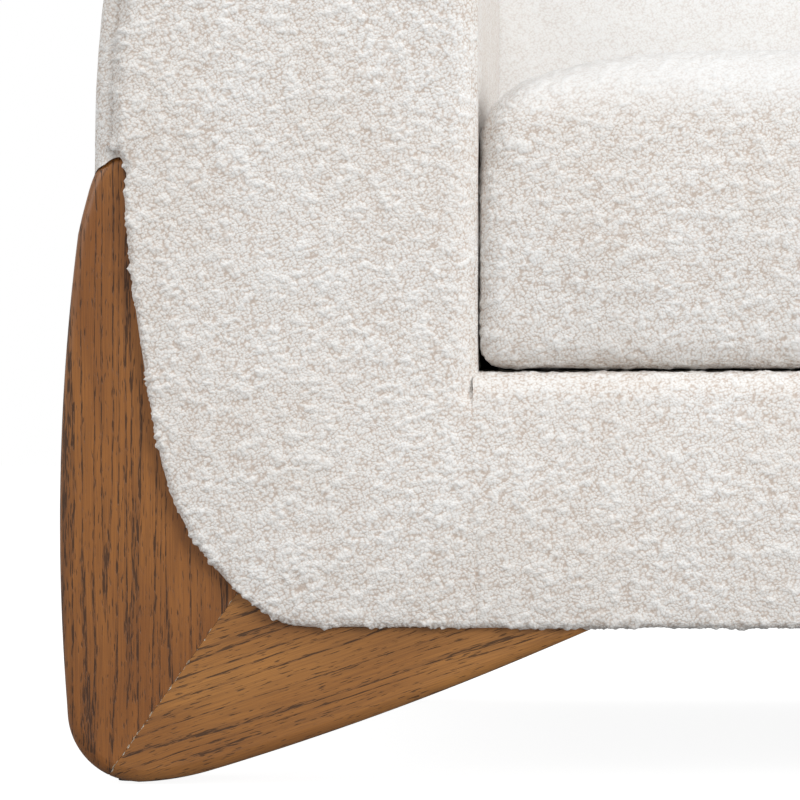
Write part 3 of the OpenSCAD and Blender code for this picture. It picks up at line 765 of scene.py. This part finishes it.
def outer_back_piece():
    """The flat padded panel that closes the rear of the sofa between the arms."""
    low, high = (OUTER[0].x - WRAP, OUTER[0].z), (OUTER[1].x + WRAP, OUTER[1].z + WRAP)
    loop = resample(rounded(low, high, (0.006, 0.006, 0.010, 0.010)), 0.008)
    pts = hexagons(low, high, 0.0085)
    pts = pts[inside(pts, loop + inward(loop) * 0.004)]
    co, tris, ring = sheet_mesh(loop, pts)
    centre, half = (np.array(high) + low) / 2, (np.array(high) - low) / 2
    gap = np.min(half - np.abs(co - centre), 1)
    y = OUTER[1].y + 0.003 * (1 - np.exp(-np.maximum(gap, 0) / 0.03)) - end_inset(0.006, np.maximum(gap, 0)) * 0.8
    return slab("outer_back_panel", co, tris, ring, y, BACK[1].y - 0.010)


# ---- Seat cushions ----


def cushion_top(u):
    """Height of the cushion's top, u from its nearest side."""
    return 0.4400 + 0.0255 * (1 - np.exp(-((u / 0.065) ** 1.3)))


SIDE_PRESS = 0.0022  # the cushion's side presses this far into the soft arm
ZIP_SINK = 0.0024  # the cover dips this far along its zip
CELL = 0.0120  # grid of the cushion's cloth
SWELL = 0.012  # most that a point may move when the cushion is filled
SWELL_SHARE = np.array([0.10, 0.55, 0.30])  # the arms, the back and the deck hold its sides


def zip_band(x, z):
    """1 along the zip, 0 away from it."""
    mid, half = (ZIP[0].z + ZIP[1].z) / 2, (ZIP[1].z - ZIP[0].z) / 2
    along = smooth_step(x, ZIP[0].x - 0.012, ZIP[0].x) * (1 - smooth_step(x, ZIP[1].x, ZIP[1].x + 0.012))
    return along * (1 - smooth_step(np.abs(z - mid), half, half + 0.008))


def cushion_piece():
    lo, hi = np.array(CUSHION[0]), np.array(CUSHION[1])
    lo[0] -= SIDE_PRESS
    size = hi - lo
    verts, faces = box_grid(np.maximum(8, np.round(size / CELL)).astype(int))
    p = lo + verts * size
    t = (p[:, 2] - lo[2]) / size[2]
    r = 0.014 + 0.018 * smooth_step(t, 0.50, 0.90)
    q = np.clip(p, lo + r[:, None], hi - r[:, None])
    d = p - q
    length = np.linalg.norm(d, axis=1, keepdims=True)
    p = q + d / np.maximum(length, 1e-9) * r[:, None]
    side = np.minimum(p[:, 0] - lo[0], hi[0] - p[:, 0])
    deep = np.minimum(p[:, 1] - lo[1], hi[1] - p[:, 1])
    crown = cushion_top(np.maximum(side, 0)) - 0.462 - 0.006 * np.exp(-np.maximum(deep, 0) / 0.05)
    p[:, 2] += crown * smooth_step((p[:, 2] - lo[2]) / size[2], 0.25, 1.0)
    v = (p[:, 2] - lo[2]) / size[2]
    front = smooth_step(-(p[:, 1] - lo[1]), -0.05, 0.0)
    belly = np.sin(np.pi * np.clip(v, 0, 1)) ** 0.8 * (1 - np.exp(-np.maximum(side, 0) / 0.04))
    p[:, 1] -= 0.0075 * front * belly
    obj = new_object("cushion_cover_left", p, faces)
    fix_normals(obj)
    inflate(obj, SWELL)
    subdivide = obj.modifiers.new("subdivide", "SUBSURF")
    subdivide.levels = subdivide.render_levels = 1
    apply_modifiers(obj)
    p = points_of(obj)
    p[:, 0] = np.clip(p[:, 0], lo[0], hi[0])
    p[:, 1] = np.clip(p[:, 1], lo[1] - 0.0085, hi[1] - 0.0006)
    p[:, 2] = np.clip(p[:, 2], lo[2] + 0.0002, hi[2] + 0.006)
    p[:, 1] -= ZIP_SINK * zip_band(p[:, 0], p[:, 2]) * smooth_step(p[:, 1], hi[1] - 0.02, hi[1] - 0.01)
    set_points(obj, p)
    return obj


def box_grid(counts):
    """Unit cube's surface as a closed grid: (points, quads)."""
    nx, ny, nz = counts
    index, pts, faces = {}, [], []

    def at(*key):
        if key not in index:
            index[key] = len(pts)
            pts.append(tuple(a / b for a, b in zip(key, counts)))
        return index[key]

    for i, j, k in itertools.product(range(nx), range(ny), (0, nz)):
        faces.append((at(i, j, k), at(i + 1, j, k), at(i + 1, j + 1, k), at(i, j + 1, k)))
    for i, k, j in itertools.product(range(nx), range(nz), (0, ny)):
        faces.append((at(i, j, k), at(i + 1, j, k), at(i + 1, j, k + 1), at(i, j, k + 1)))
    for j, k, i in itertools.product(range(ny), range(nz), (0, nx)):
        faces.append((at(i, j, k), at(i, j + 1, k), at(i, j + 1, k + 1), at(i, j, k + 1)))
    return np.array(pts), faces


def inflate(obj, cap):
    """Cloth simulation: the cover filled with air, each point moved by no more than cap."""
    before = points_of(obj)
    cloth = obj.modifiers.new("cloth", "CLOTH")
    s = cloth.settings
    s.quality, s.mass, s.use_pressure, s.uniform_pressure_force = 4, 0.4, True, 4.0
    s.tension_stiffness = s.compression_stiffness = 18
    s.bending_stiffness = 1.5
    s.effector_weights.gravity = 0
    cloth.collision_settings.use_collision = False
    scene = bpy.context.scene
    cloth.point_cache.frame_start, cloth.point_cache.frame_end = 1, 20
    for f in range(1, 21):
        scene.frame_set(f)
    apply_modifiers(obj)
    scene.frame_set(1)
    move = points_of(obj) - before
    length = np.linalg.norm(move, axis=1, keepdims=True)
    set_points(obj, before + move * SWELL_SHARE * np.minimum(1, cap / np.maximum(length, 1e-9)))


def refine(obj, test, cuts):
    """Splits the faces whose middle passes test."""
    bm = bmesh.new()
    bm.from_mesh(obj.data)
    edges = {e for f in bm.faces if test(f.calc_center_median()) for e in f.edges}
    bmesh.ops.subdivide_edges(bm, edges=list(edges), cuts=cuts, use_grid_fill=True, smooth=0.0)
    split_large(bm)
    bm.to_mesh(obj.data)
    bm.free()


# ---- Finishing a soft piece ----

RELIEF = nub_group()
BOUCLE = boucle_material()


def place(obj, finish, body, nodes, slot, sharp):
    """Gives a new piece its finish, its body, the CAD nodes that it stands for and its material slot."""
    obj.name = obj.data.name = obj.name.split(".")[0] + "_" + slot
    obj.data.materials.clear()
    obj.data.materials.append(finish)
    obj.data.shade_smooth()
    obj.data.set_sharp_from_angle(angle=math.radians(sharp))
    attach(obj, body)
    if nodes:
        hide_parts(*nodes)


def upholster(obj, body, nodes, fill):
    """Adds the boucle relief and finish, and puts the piece in the frame."""
    co = points_of(obj)
    set_attribute(obj, "rest", co, "FLOAT_VECTOR")
    for name in ("fine", "rim", "lit_evened"):
        if name not in obj.data.attributes:
            set_attribute(obj, name, np.zeros(len(co)))
    relief = obj.modifiers.new("relief", "NODES")
    relief.node_group = RELIEF
    apply_modifiers(obj)
    place(obj, BOUCLE, body, nodes, "boucle", 70)


REAR_FILL = 0.0050  # the rear panels are padded this much more at the top, to clear the end boards' corners


def make_upholstery():
    face = Face()
    front = panel_piece("arm_front_panel_left", face, FINE, True)
    plain = panel_piece("arm_front_panel_plain", face, 0.0040, False)
    other = mirrored(plain, "arm_front_panel_right")
    rear_left = mirrored(plain, "arm_rear_panel_left", 1)
    co = points_of(rear_left)
    seam = -FACE - SETBACK
    co[:, 1] += REAR_FILL * smooth_step(co[:, 1], seam, seam + 0.003) * smooth_step(co[:, 2], 0.44, 0.54)
    set_points(rear_left, co)
    rear_right = mirrored(rear_left, "arm_rear_panel_right")
    bpy.data.objects.remove(plain)
    arm = arm_piece()
    arm_right = mirrored(arm, "arm_cover_right")
    rail, back = rail_piece(face), back_piece()
    # painted light: the whole back is evened towards the light mean colour
    set_attribute(back, "lit_evened", np.ones(len(back.data.vertices)))
    for obj, nodes, fill in (
            (front, ["arm_front_panel_left"], 0.8), (other, ["arm_front_panel_right"], 0.8),
            (arm, ["arm_cover_left", "arm_pad_left"], 0.8), (arm_right, ["arm_cover_right", "arm_pad_right"], 0.8),
            (rear_left, ["arm_cover_left"], 0.8), (rear_right, ["arm_cover_right"], 0.8),
            (rail, ["front_rail_cover", "front_rail_pad"], 0.8), (back, ["back_cover", "back_pad"], 0.7),
            (outer_back_piece(), ["outer_back_panel"], 0.3)):
        upholster(obj, "sofa_frame", nodes, fill)
    cushion = cushion_piece()
    right = mirrored(cushion, "cushion_cover_right")
    zone = LEFT + 0.50
    refine(cushion, lambda c: c.x < zone and c.y < CUSHION[0].y + 0.07, 3)
    co = points_of(cushion)
    fine = (1 - smooth_step(co[:, 0], zone - 0.016, zone - 0.010)) * (
        1 - smooth_step(co[:, 1], CUSHION[0].y + 0.054, CUSHION[0].y + 0.060))
    set_attribute(cushion, "fine", fine)
    for obj, side in ((cushion, "left"), (right, "right")):
        # painted light: the cushion tops, lit from above, are evened towards the light mean colour
        set_attribute(obj, "lit_evened", smooth_step(points_of(obj)[:, 2], 0.41, 0.45))
        upholster(obj, "seat_cushion_" + side, ["cushion_cover_" + side, "cushion_core_" + side], 0.7)


# ---- Legs ----

STAIN_LIGHT, STAIN_MID, STAIN_DARK, FILLER = (170, 113, 56), (146, 92, 42), (84, 52, 32), (196, 184, 168)
RUNNER_GRAIN = math.radians(19)
MITRE_GAP = 0.00016
POST_TONE, RUNNER_TONE_AND_SHEEN = (0.87, 0.80, 0.69), (1.09, 1.15, 1.18)  # how the post and the runner each tint the oak: the post darker and warmer, the runner lighter and greyer, partly the board's own tone and partly a painted sheen


def oak_material():
    """Open-pored oak: growth rings, dark dashes of pores along them, satin lacquer, and filler in the mitre."""
    m, t = material("stained_oak")
    grain = t.attribute("grain", "Vector")
    board = wobbled(t, grain, t.vector("MULTIPLY", grain, (20, 20, 9)), 1.0)

    def noise(stretch, *settings):
        return t.noise(t.vector("MULTIPLY", board, stretch), 1.0, *settings)

    flow, rough = noise((58, 24, 1.3), 1.0, 0.4), noise((700, 300, 26), 1.0)
    rings = t.math("FRACT", t.math("MULTIPLY_ADD", flow, 8.0, t.math("MULTIPLY", rough, 0.30)))
    early = t.remap(rings, 0.0, 0.36, 1.0, 0.0, True)
    fibres = noise((1500, 700, 30), 2.0, 0.6)
    pores = t.math("MULTIPLY_ADD", early, 0.20, noise((1150, 520, 105), 1.0, 0.5))
    pores = t.remap(pores, 0.62, 0.72, 0.0, 1.0, True)
    blotch = noise((24, 24, 6), 2.0)
    base = t.mix(t.remap(blotch, 0.35, 0.65), srgb(STAIN_LIGHT), srgb(STAIN_MID))
    base = t.mix(t.math("MULTIPLY", early, 0.42), base, srgb(STAIN_DARK))
    base = t.mix(t.remap(fibres, 0.38, 0.72, 0.0, 0.42), base, srgb(STAIN_DARK))
    base = t.mix(t.math("MULTIPLY", pores, 0.72), base, srgb([0.48 * c for c in STAIN_DARK]))
    height = t.math("SUBTRACT", t.math("MULTIPLY", fibres, 0.25), pores)
    line = t.attribute("mitre")
    spots = t.noise(t.vector("MULTIPLY", grain, (210, 40, 210)), 1.0, 2.0, 0.6)
    near = t.math("LESS_THAN", t.math("ABSOLUTE", line), t.remap(spots, 0.50, 0.72, 0.0, 0.0009))
    base = t.mix(t.math("MULTIPLY", near, 0.8), base, srgb(FILLER))
    # painted sheen, in part: the runner is lightened and greyed, the post darkened and warmed
    board_share = t.remap(line, -0.0002, 0.0002, 0.0, 1.0)
    base = t.vector("MULTIPLY", base, t.mix(board_share, (*RUNNER_TONE_AND_SHEEN, 1), (*POST_TONE, 1)))
    finish_material(t, base, height, 0.0004, 0.6, t.remap(pores, 0.0, 1.0, 0.40, 0.75), Coat_Weight=0.25,
                    Coat_Roughness=0.32, Specular_IOR_Level=0.4)
    return m


def leg_mesh(grow=0.0):
    """One whole leg at the front left, as a bmesh, before the mitre is cut, grown by grow for its cut-out."""
    loop, radii = leg_loop()
    normal = inward(loop)
    loop = loop - normal * grow
    radii = radii + grow
    y0, y1 = POST[0].y - (0.0028 if grow else 0), POST[1].y + grow
    turns = np.radians([0, 18, 36, 54, 72, 90])
    edges = [(loop + normal * (radii * (1 - np.sin(a)))[:, None], radii * (1 - np.cos(a))) for a in turns]
    rings = [(ring, y0 + depth) for ring, depth in edges]
    rings += [(loop, (y0 + radii) * (1 - share) + (y1 - radii) * share) for share in (0.33, 0.66)]
    rings += [(ring, y1 - depth) for ring, depth in edges[::-1]]
    bm = bmesh.new()
    rows = skin(bm, [np.column_stack([f[:, 0] + LEFT, y, f[:, 1]]) for f, y in rings])
    bmesh.ops.inset_region(bm, faces=cap(bm, rows), thickness=0.0008, use_even_offset=False)
    bmesh.ops.recalc_face_normals(bm, faces=bm.faces)
    return bm


def make_legs():
    oak = oak_material()
    whole = leg_mesh()
    at = Vector((MITRE_AT[0] + LEFT, 0, MITRE_AT[1]))
    up = Vector((-math.sin(MITRE_ANGLE), 0, math.cos(MITRE_ANGLE)))
    for part, sign in (("post", 1), ("runner", -1)):
        bm = whole.copy()
        everything = bm.verts[:] + bm.edges[:] + bm.faces[:]
        cut = bmesh.ops.bisect_plane(bm, geom=everything, plane_co=at + up * sign * MITRE_GAP / 2,
                                     plane_no=up * sign, clear_inner=True, dist=1e-7)
        edges = [g for g in cut["geom_cut"] if isinstance(g, bmesh.types.BMEdge)]
        bmesh.ops.contextual_create(bm, geom=edges)
        bmesh.ops.bevel(bm, geom=[e for e in edges if e.is_valid], offset=0.0003, segments=1, affect="EDGES")
        split_large(bm)
        bmesh.ops.recalc_face_normals(bm, faces=bm.faces)
        mesh = bpy.data.meshes.new("leg")
        bm.to_mesh(mesh)
        bm.free()
        master = bpy.data.objects.new("leg", mesh)
        co = points_of(master)
        u, y, z = co[:, 0] - LEFT, co[:, 1], co[:, 2]
        turn = 0.0 if part == "post" else math.pi / 2 - RUNNER_GRAIN
        across = u * math.cos(turn) - z * math.sin(turn)
        along = u * math.sin(turn) + z * math.cos(turn)
        mitre = (co - np.array(at)) @ np.array(up)
        for i, (end, side) in enumerate((e, s) for e in ("front", "rear") for s in ("left", "right")):
            name = f"leg_{part}_{end}_{side}"
            obj = link(bpy.data.objects.new(name, mesh.copy()))
            obj.data.name = name
            right, rear = side == "right", end == "rear"
            set_points(obj, co * (-1 if right else 1, -1 if rear else 1, 1))
            if right != rear:
                obj.data.flip_normals()
            away = 0.5 if part == "post" else 0
            grain = np.column_stack([across + 0.37 * i, y + 0.2 * i, along + 0.9 * i + away])
            set_attribute(obj, "grain", grain, "FLOAT_VECTOR")
            set_attribute(obj, "mitre", mitre)
            place(obj, oak, "sofa_frame", [name], "stained_oak", 35)
        bpy.data.objects.remove(master)
    whole.free()


# ---- Finishes for the hidden structure and the trim ----

# slot: dark and light colour, stretch of the pattern along X, Y and Z, roughness, metallic, bump in metres
FINISHES = {
    "beech": ((176, 132, 90), (214, 176, 130), (300, 300, 24), 0.62, 0.0, 0.0003),
    "frame_hardwood": ((158, 118, 78), (205, 168, 122), (14, 220, 220), 0.70, 0.0, 0.0004),
    "plywood": ((170, 136, 96), (216, 186, 144), (30, 30, 500), 0.68, 0.0, 0.0003),
    "foam": ((206, 200, 184), (236, 232, 220), (900, 900, 900), 0.95, 0.0, 0.0006),
    "zip_metal": ((120, 117, 110), (176, 172, 164), (90, 900, 900), 0.32, 1.0, 0.0001),
    "zinc_steel": ((140, 144, 148), (192, 196, 200), (260, 260, 260), 0.40, 1.0, 0.0001),
    "spring_steel": ((44, 46, 48), (78, 80, 82), (400, 400, 400), 0.42, 1.0, 0.0001),
    "brass_insert": ((168, 128, 58), (212, 172, 96), (120, 120, 1100), 0.34, 1.0, 0.0001),
    "nylon": ((20, 20, 22), (34, 34, 37), (700, 700, 700), 0.50, 0.0, 0.0001),
}
# slot: dark and light colour, threads per metre along and across, roughness, bump in metres
WEAVES = {
    "deck_cloth": ((176, 166, 148), (214, 206, 190), (1100, 1100), 0.92, 0.0004),
    "dust_cloth": ((12, 12, 13), (34, 34, 36), (620, 620), 0.90, 0.0003),
    "webbing": ((126, 96, 60), (184, 150, 104), (420, 260), 0.85, 0.0008),
    "zip_tape": ((186, 180, 168), (226, 222, 214), (1500, 1100), 0.88, 0.0003),
}


def plain_finish(name, dark, light, stretch, roughness, metallic, depth):
    m, t = material(name)
    spot = t.node("ShaderNodeTexCoord").outputs["Object"]
    grain = t.noise(t.vector("MULTIPLY", spot, stretch), 1.0, 4.0, 0.6)
    wear = t.noise(spot, 16.0, 3.0)
    tone = t.remap(t.math("MULTIPLY_ADD", wear, 0.4, t.math("MULTIPLY", grain, 0.6)), 0.38, 0.64)
    rough = t.remap(grain, 0.3, 0.7, roughness - 0.08, roughness + 0.10)
    finish_material(t, t.mix(tone, srgb(dark), srgb(light)), grain, depth, 0.7, rough, Metallic=metallic)
    return m


def woven_finish(name, dark, light, threads, roughness, depth):
    """Plain weave: over-and-under threads from two crossed waves."""
    m, t = material(name)
    spot = t.node("ShaderNodeTexCoord").outputs["Object"]
    x, y, z = t.node("ShaderNodeSeparateXYZ", {"Vector": spot}).outputs
    up = t.math("ADD", y, z)
    waves = [t.math("SINE", t.math("MULTIPLY", axis, math.pi * n)) for axis, n in zip((x, up), threads)]
    weave = t.remap(t.math("MULTIPLY", *waves), -1.0, 1.0)
    slub = t.noise(t.vector("MULTIPLY", spot, (40, 400, 400)), 1.0, 2.0)
    tone = t.math("MULTIPLY_ADD", weave, 0.6, t.remap(slub, 0.3, 0.7, 0.0, 0.4))
    finish_material(t, t.mix(tone, srgb(dark), srgb(light)), weave, depth, 0.7, roughness, Sheen_Weight=0.1)
    return m


def finish_nodes(finishes):
    """Every CAD node that still shows gets its slot's finish."""
    for part in frame["record"]["subparts"]:
        obj, slot = frame["nodes"][part["node"]], part["material_slot"]
        if slot in finishes and obj.data.materials:
            for s in obj.material_slots:
                s.link = "OBJECT"
                s.material = finishes[slot]


# ---- Zips ----


def boxes(name, centres, size, taper=0.8):
    """Many small blocks, narrower towards +Y, as one mesh."""
    corner = np.array([(x, y, z) for x in (-0.5, 0.5) for y in (-0.5, 0.5) for z in (-0.5, 0.5)])
    corner[corner[:, 1] > 0, 0] *= taper
    corner[corner[:, 1] > 0, 2] *= taper
    quads = np.array([(0, 1, 3, 2), (4, 6, 7, 5), (0, 4, 5, 1), (2, 3, 7, 6), (0, 2, 6, 4), (1, 5, 7, 3)])
    centres = np.asarray(centres)
    pts = (centres[:, None] + corner * np.asarray(size)).reshape(-1, 3)
    faces = (quads[None] + 8 * np.arange(len(centres))[:, None, None]).reshape(-1, 4)
    return new_object(name, pts, faces)


def join(obj, others):
    """Adds the other objects' meshes to obj's."""
    bm = bmesh.new()
    for o in (obj, *others):
        bm.from_mesh(o.data)
    bm.to_mesh(obj.data)
    bm.free()
    for o in others:
        bpy.data.objects.remove(o)
    return obj


TOOTH_PITCH = 0.0026


def zip_piece():
    """Tape with raised cords, two rows of coil teeth and the end stops."""
    mid = (ZIP[0].z + ZIP[1].z) / 2
    y0, y1, half = ZIP[0].y - 0.0022, ZIP[0].y + 0.0004, (ZIP[1].z - ZIP[0].z) / 2
    across = np.linspace(-half, half, 33)
    rise = 0.0006 * np.exp(-((np.abs(across) - 0.0042) / 0.0012) ** 2)
    front = np.column_stack([y1 + rise, mid + across])
    rear = np.column_stack([np.full(2, y0), mid + np.array([half, -half])])
    section = np.vstack([front, rear])[::-1]
    x = np.linspace(ZIP[0].x, ZIP[1].x, 160)
    grid = np.empty((len(x), len(section), 3))
    grid[:, :, 0] = x[:, None]
    grid[:, :, 1:] = section[None]
    tape = tube("cushion_zip_left", grid)
    at = np.arange(ZIP[0].x + 0.012, ZIP[1].x - 0.012, TOOTH_PITCH / 2)
    side = np.where(np.arange(len(at)) % 2, 0.0011, -0.0011)
    spots = np.column_stack([at, np.full(len(at), y1 + 0.0005), mid + side])
    teeth = boxes("teeth", spots, (0.0012, 0.0014, 0.0036), 0.7)
    stops = boxes("stops", [(a, y1 + 0.0006, mid) for a in (at[0] - 0.003, at[-1] + 0.003)], (0.004, 0.0016, 0.0068))
    join(tape, [teeth, stops])
    fix_normals(tape)
    return tape


def plate(line, y0, y1, soft):
    """Rings of a flat plate from y0 to y1 with softened edges; soft is negative for a hole's edge."""
    drawn_in = line + inward(line) * soft
    return [np.insert(ring, 1, y, axis=1) for ring, y in (
        (drawn_in, y0), (line, y0 + abs(soft)), (line, y1 - abs(soft)), (drawn_in, y1))]


def slider_piece():
    """Zip slider: a waisted body, a bridge and a hanging pull tab with a slot."""
    lo, hi = SLIDER
    mid_x, mid_z = (lo.x + hi.x) / 2, (ZIP[0].z + ZIP[1].z) / 2
    bm = bmesh.new()
    half_x, half_z, y0, y1 = (hi.x - lo.x) / 2, 0.0048, lo.y - 0.0016, lo.y + 0.0012
    outline = resample(spline([(-half_x, -0.0034), (0.0, -0.0042), (half_x, -half_z), (half_x, half_z),
                               (0.0, 0.0042), (-half_x, 0.0034), (-half_x, -0.0034)], 10), 0.0007)
    cap(bm, skin(bm, plate(outline + (mid_x, mid_z), y0, y1, 0.0005)))
    # bridge: a flat bar bent over the body
    path = spline([(-0.0046, y1 - 0.0004), (-0.0040, y1 + 0.0014), (-0.0024, y1 + 0.0022), (0.0024, y1 + 0.0022),
                   (0.0040, y1 + 0.0014), (0.0046, y1 - 0.0004)], 5)
    turn = np.gradient(path, axis=0)
    turn /= np.linalg.norm(turn, axis=1, keepdims=True)
    off = np.column_stack([-turn[:, 1], turn[:, 0]]) * 0.0005
    cap(bm, skin(bm, [[(mid_x + q[0], q[1], mid_z + z) for q, z in
                       ((p + o, -0.0012), (p + o, 0.0012), (p - o, 0.0012), (p - o, -0.0012))]
                      for p, o in zip(path, off)]))
    # pull tab
    top, bottom, wide = mid_z + 0.0016, lo.z, 0.0042
    outer = resample(rounded((-wide, bottom), (wide, top), (0.0036, 0.0036, 0.0022, 0.0022)), 0.0008)
    middle = bottom + 0.0105
    angle = np.arctan2(outer[:, 1] - middle, outer[:, 0])
    slot = np.column_stack([0.0019 * np.cos(angle), middle + 0.0056 * np.sin(angle)])
    edge, hole = (skin(bm, plate(line + (mid_x, 0), y1 + 0.0008, y1 + 0.0018, soft))
                  for line, soft in ((outer, 0.0003), (slot, -0.0003)))
    for level in (0, -1):
        bridge(bm, edge[level], hole[level])
    bmesh.ops.recalc_face_normals(bm, faces=bm.faces)
    obj = new_object("zip_slider_left", [], [])
    bm.to_mesh(obj.data)
    bm.free()
    return obj


def make_zips(finishes):
    for piece, node, slot, body in ((zip_piece(), "cushion_zip_", "zip_tape", "seat_cushion_"),
                                    (slider_piece(), "zip_slider_", "zip_metal", "zip_pull_")):
        for side, obj in (("left", piece), ("right", mirrored(piece, node + "right"))):
            place(obj, finishes[slot], body + side, [node + side], slot, 40)


# ---- Cloths over and under the seat frame ----


def cloth_piece(name, low, high, step, wave, hem):
    """A stretched sheet with slight puckers and a folded edge."""
    nx, ny = int((high[0] - low[0]) / step), int((high[1] - low[1]) / step)
    x, y = np.meshgrid(np.linspace(low[0], high[0], nx + 1), np.linspace(low[1], high[1], ny + 1), indexing="ij")
    edge = np.minimum.reduce([x - low[0], high[0] - x, y - low[1], high[1] - y])
    pucker = wave * (np.sin(x * 61) * np.sin(y * 53 + 1.3) * 0.5 + 0.5 * np.sin(x * 190 + 4 * y))
    middle = (low[2] + high[2]) / 2 + pucker * np.exp(-edge / 0.05)
    thick = (high[2] - low[2]) * 0.5 * (0.45 + 0.55 * (1 - smooth_step(edge, hem, hem + step)))
    top = np.stack([x, y, np.minimum(middle + thick, high[2])], -1).reshape(-1, 3)
    base = np.stack([x, y, np.maximum(middle - thick, low[2])], -1).reshape(-1, 3)
    index = np.arange((nx + 1) * (ny + 1)).reshape(nx + 1, ny + 1)
    quads = np.stack([index[:-1, :-1], index[1:, :-1], index[1:, 1:], index[:-1, 1:]], -1).reshape(-1, 4)
    n = index.size
    ring = np.r_[index[:-1, 0], index[-1, :-1], index[:0:-1, -1], index[0, :0:-1]]
    nxt = np.roll(ring, -1)
    sides = np.stack([ring, ring + n, nxt + n, nxt], 1)
    obj = new_object(name, np.vstack([top, base]), np.vstack([quads, quads[:, ::-1] + n, sides]))
    fix_normals(obj)
    return obj


def make_cloths(finishes):
    pad_lo, pad_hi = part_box("deck_pad")
    section = resample(rounded((pad_lo.y, pad_lo.z), (pad_hi.y, pad_hi.z), (0.004, 0.004, 0.007, 0.007)), 0.006)
    pad = sweep_x("deck_pad", section, np.full(len(section), 0.006), pad_lo.x, pad_hi.x, 0.02, lambda x, p, n: 0.0)
    place(pad, finishes["foam"], "sofa_frame", ["deck_pad"], "foam", 60)
    deck = cloth_piece("deck_cloth", DECK[0], DECK[1], 0.0125, 0.0006, 0.0)
    place(deck, finishes["deck_cloth"], "sofa_frame", ["deck_cloth"], "deck_cloth", 60)
    dust = cloth_piece("dust_cover", DUST[0], DUST[1], 0.0125, 0.0004, 0.018)
    place(dust, finishes["dust_cloth"], "sofa_frame", ["dust_cover"], "dust_cloth", 60)
    lo, hi = DUST
    x, y = (np.arange(a + 0.03, b - 0.02, 0.06) for a, b in ((lo.x, hi.x), (lo.y, hi.y)))
    inset, level = 0.009, lo.z - 0.0002
    spots = [(a, b, level) for a in x for b in (lo.y + inset, hi.y - inset)]
    staples = boxes("dust_staples", spots, (0.0095, 0.0012, 0.0008), 0.95)
    join(staples, [boxes("more", [(a, b, level) for b in y for a in (lo.x + inset, hi.x - inset)],
                         (0.0012, 0.0095, 0.0008), 0.95)])
    place(staples, finishes["zinc_steel"], "sofa_frame", [], "zinc_steel", 30)


# ---- Stage ----

AMBIENT, BOUNCE = 0.60, 0.06
LIGHTS = [("overhead", (-0.5, -1.9, 4.2), (-0.5, -0.2, 0.35), (3.6, 2.4), 45),
          ("key", (2.4, -3.6, 1.4), (-0.8, -0.3, 0.35), (2.0, 1.8), 108),
          ("side", (-4.2, -1.6, 2.0), (-0.9, -0.2, 0.35), (2.0, 2.0), 34)]


def make_stage():
    m, t = material("studio_floor")
    spot = t.node("ShaderNodeNewGeometry").outputs["Position"]
    colour = t.ramp(t.noise(spot, 6.0, 3.0), [(0.3, (146, 146, 146)), (0.7, (150, 150, 150))])
    diffuse = t.node("ShaderNodeBsdfDiffuse", {"Color": colour}).outputs[0]
    seen = t.node("ShaderNodeLightPath").outputs["Is Camera Ray"]
    glow = t.node("ShaderNodeEmission", {"Strength": t.remap(seen, 0.0, 1.0, BOUNCE, 0.93)}).outputs[0]
    both = t.node("ShaderNodeAddShader", {0: diffuse, 1: glow}).outputs[0]
    t.node("ShaderNodeOutputMaterial", {"Surface": both})
    reach = 14.0
    floor = new_object("floor", [(-reach, -reach, 0), (reach, -reach, 0), (reach, reach, 0), (-reach, reach, 0)],
                       [(0, 1, 2, 3)])
    floor.data.materials.append(m)
    world = bpy.data.worlds.new("studio")
    world.use_nodes = True
    world.node_tree.nodes.clear()
    t = Tree(world.node_tree)
    seen = t.node("ShaderNodeLightPath").outputs["Is Camera Ray"]
    strength = t.remap(seen, 0.0, 1.0, AMBIENT, 1.0)
    sky = t.node("ShaderNodeBackground", {"Color": (1, 1, 1, 1), "Strength": strength}).outputs[0]
    t.node("ShaderNodeOutputWorld", {"Surface": sky})
    bpy.context.scene.world = world
    bpy.context.scene.view_settings.view_transform = "Standard"
    for light in LIGHTS:
        area_light(*light)


make_camera()
make_stage()
make_upholstery()
make_legs()
finishes = {slot: plain_finish(slot, *look) for slot, look in FINISHES.items()}
finishes.update({slot: woven_finish(slot, *look) for slot, look in WEAVES.items()})
make_zips(finishes)
make_cloths(finishes)
finish_nodes(finishes)
bpy.context.view_layer.update()
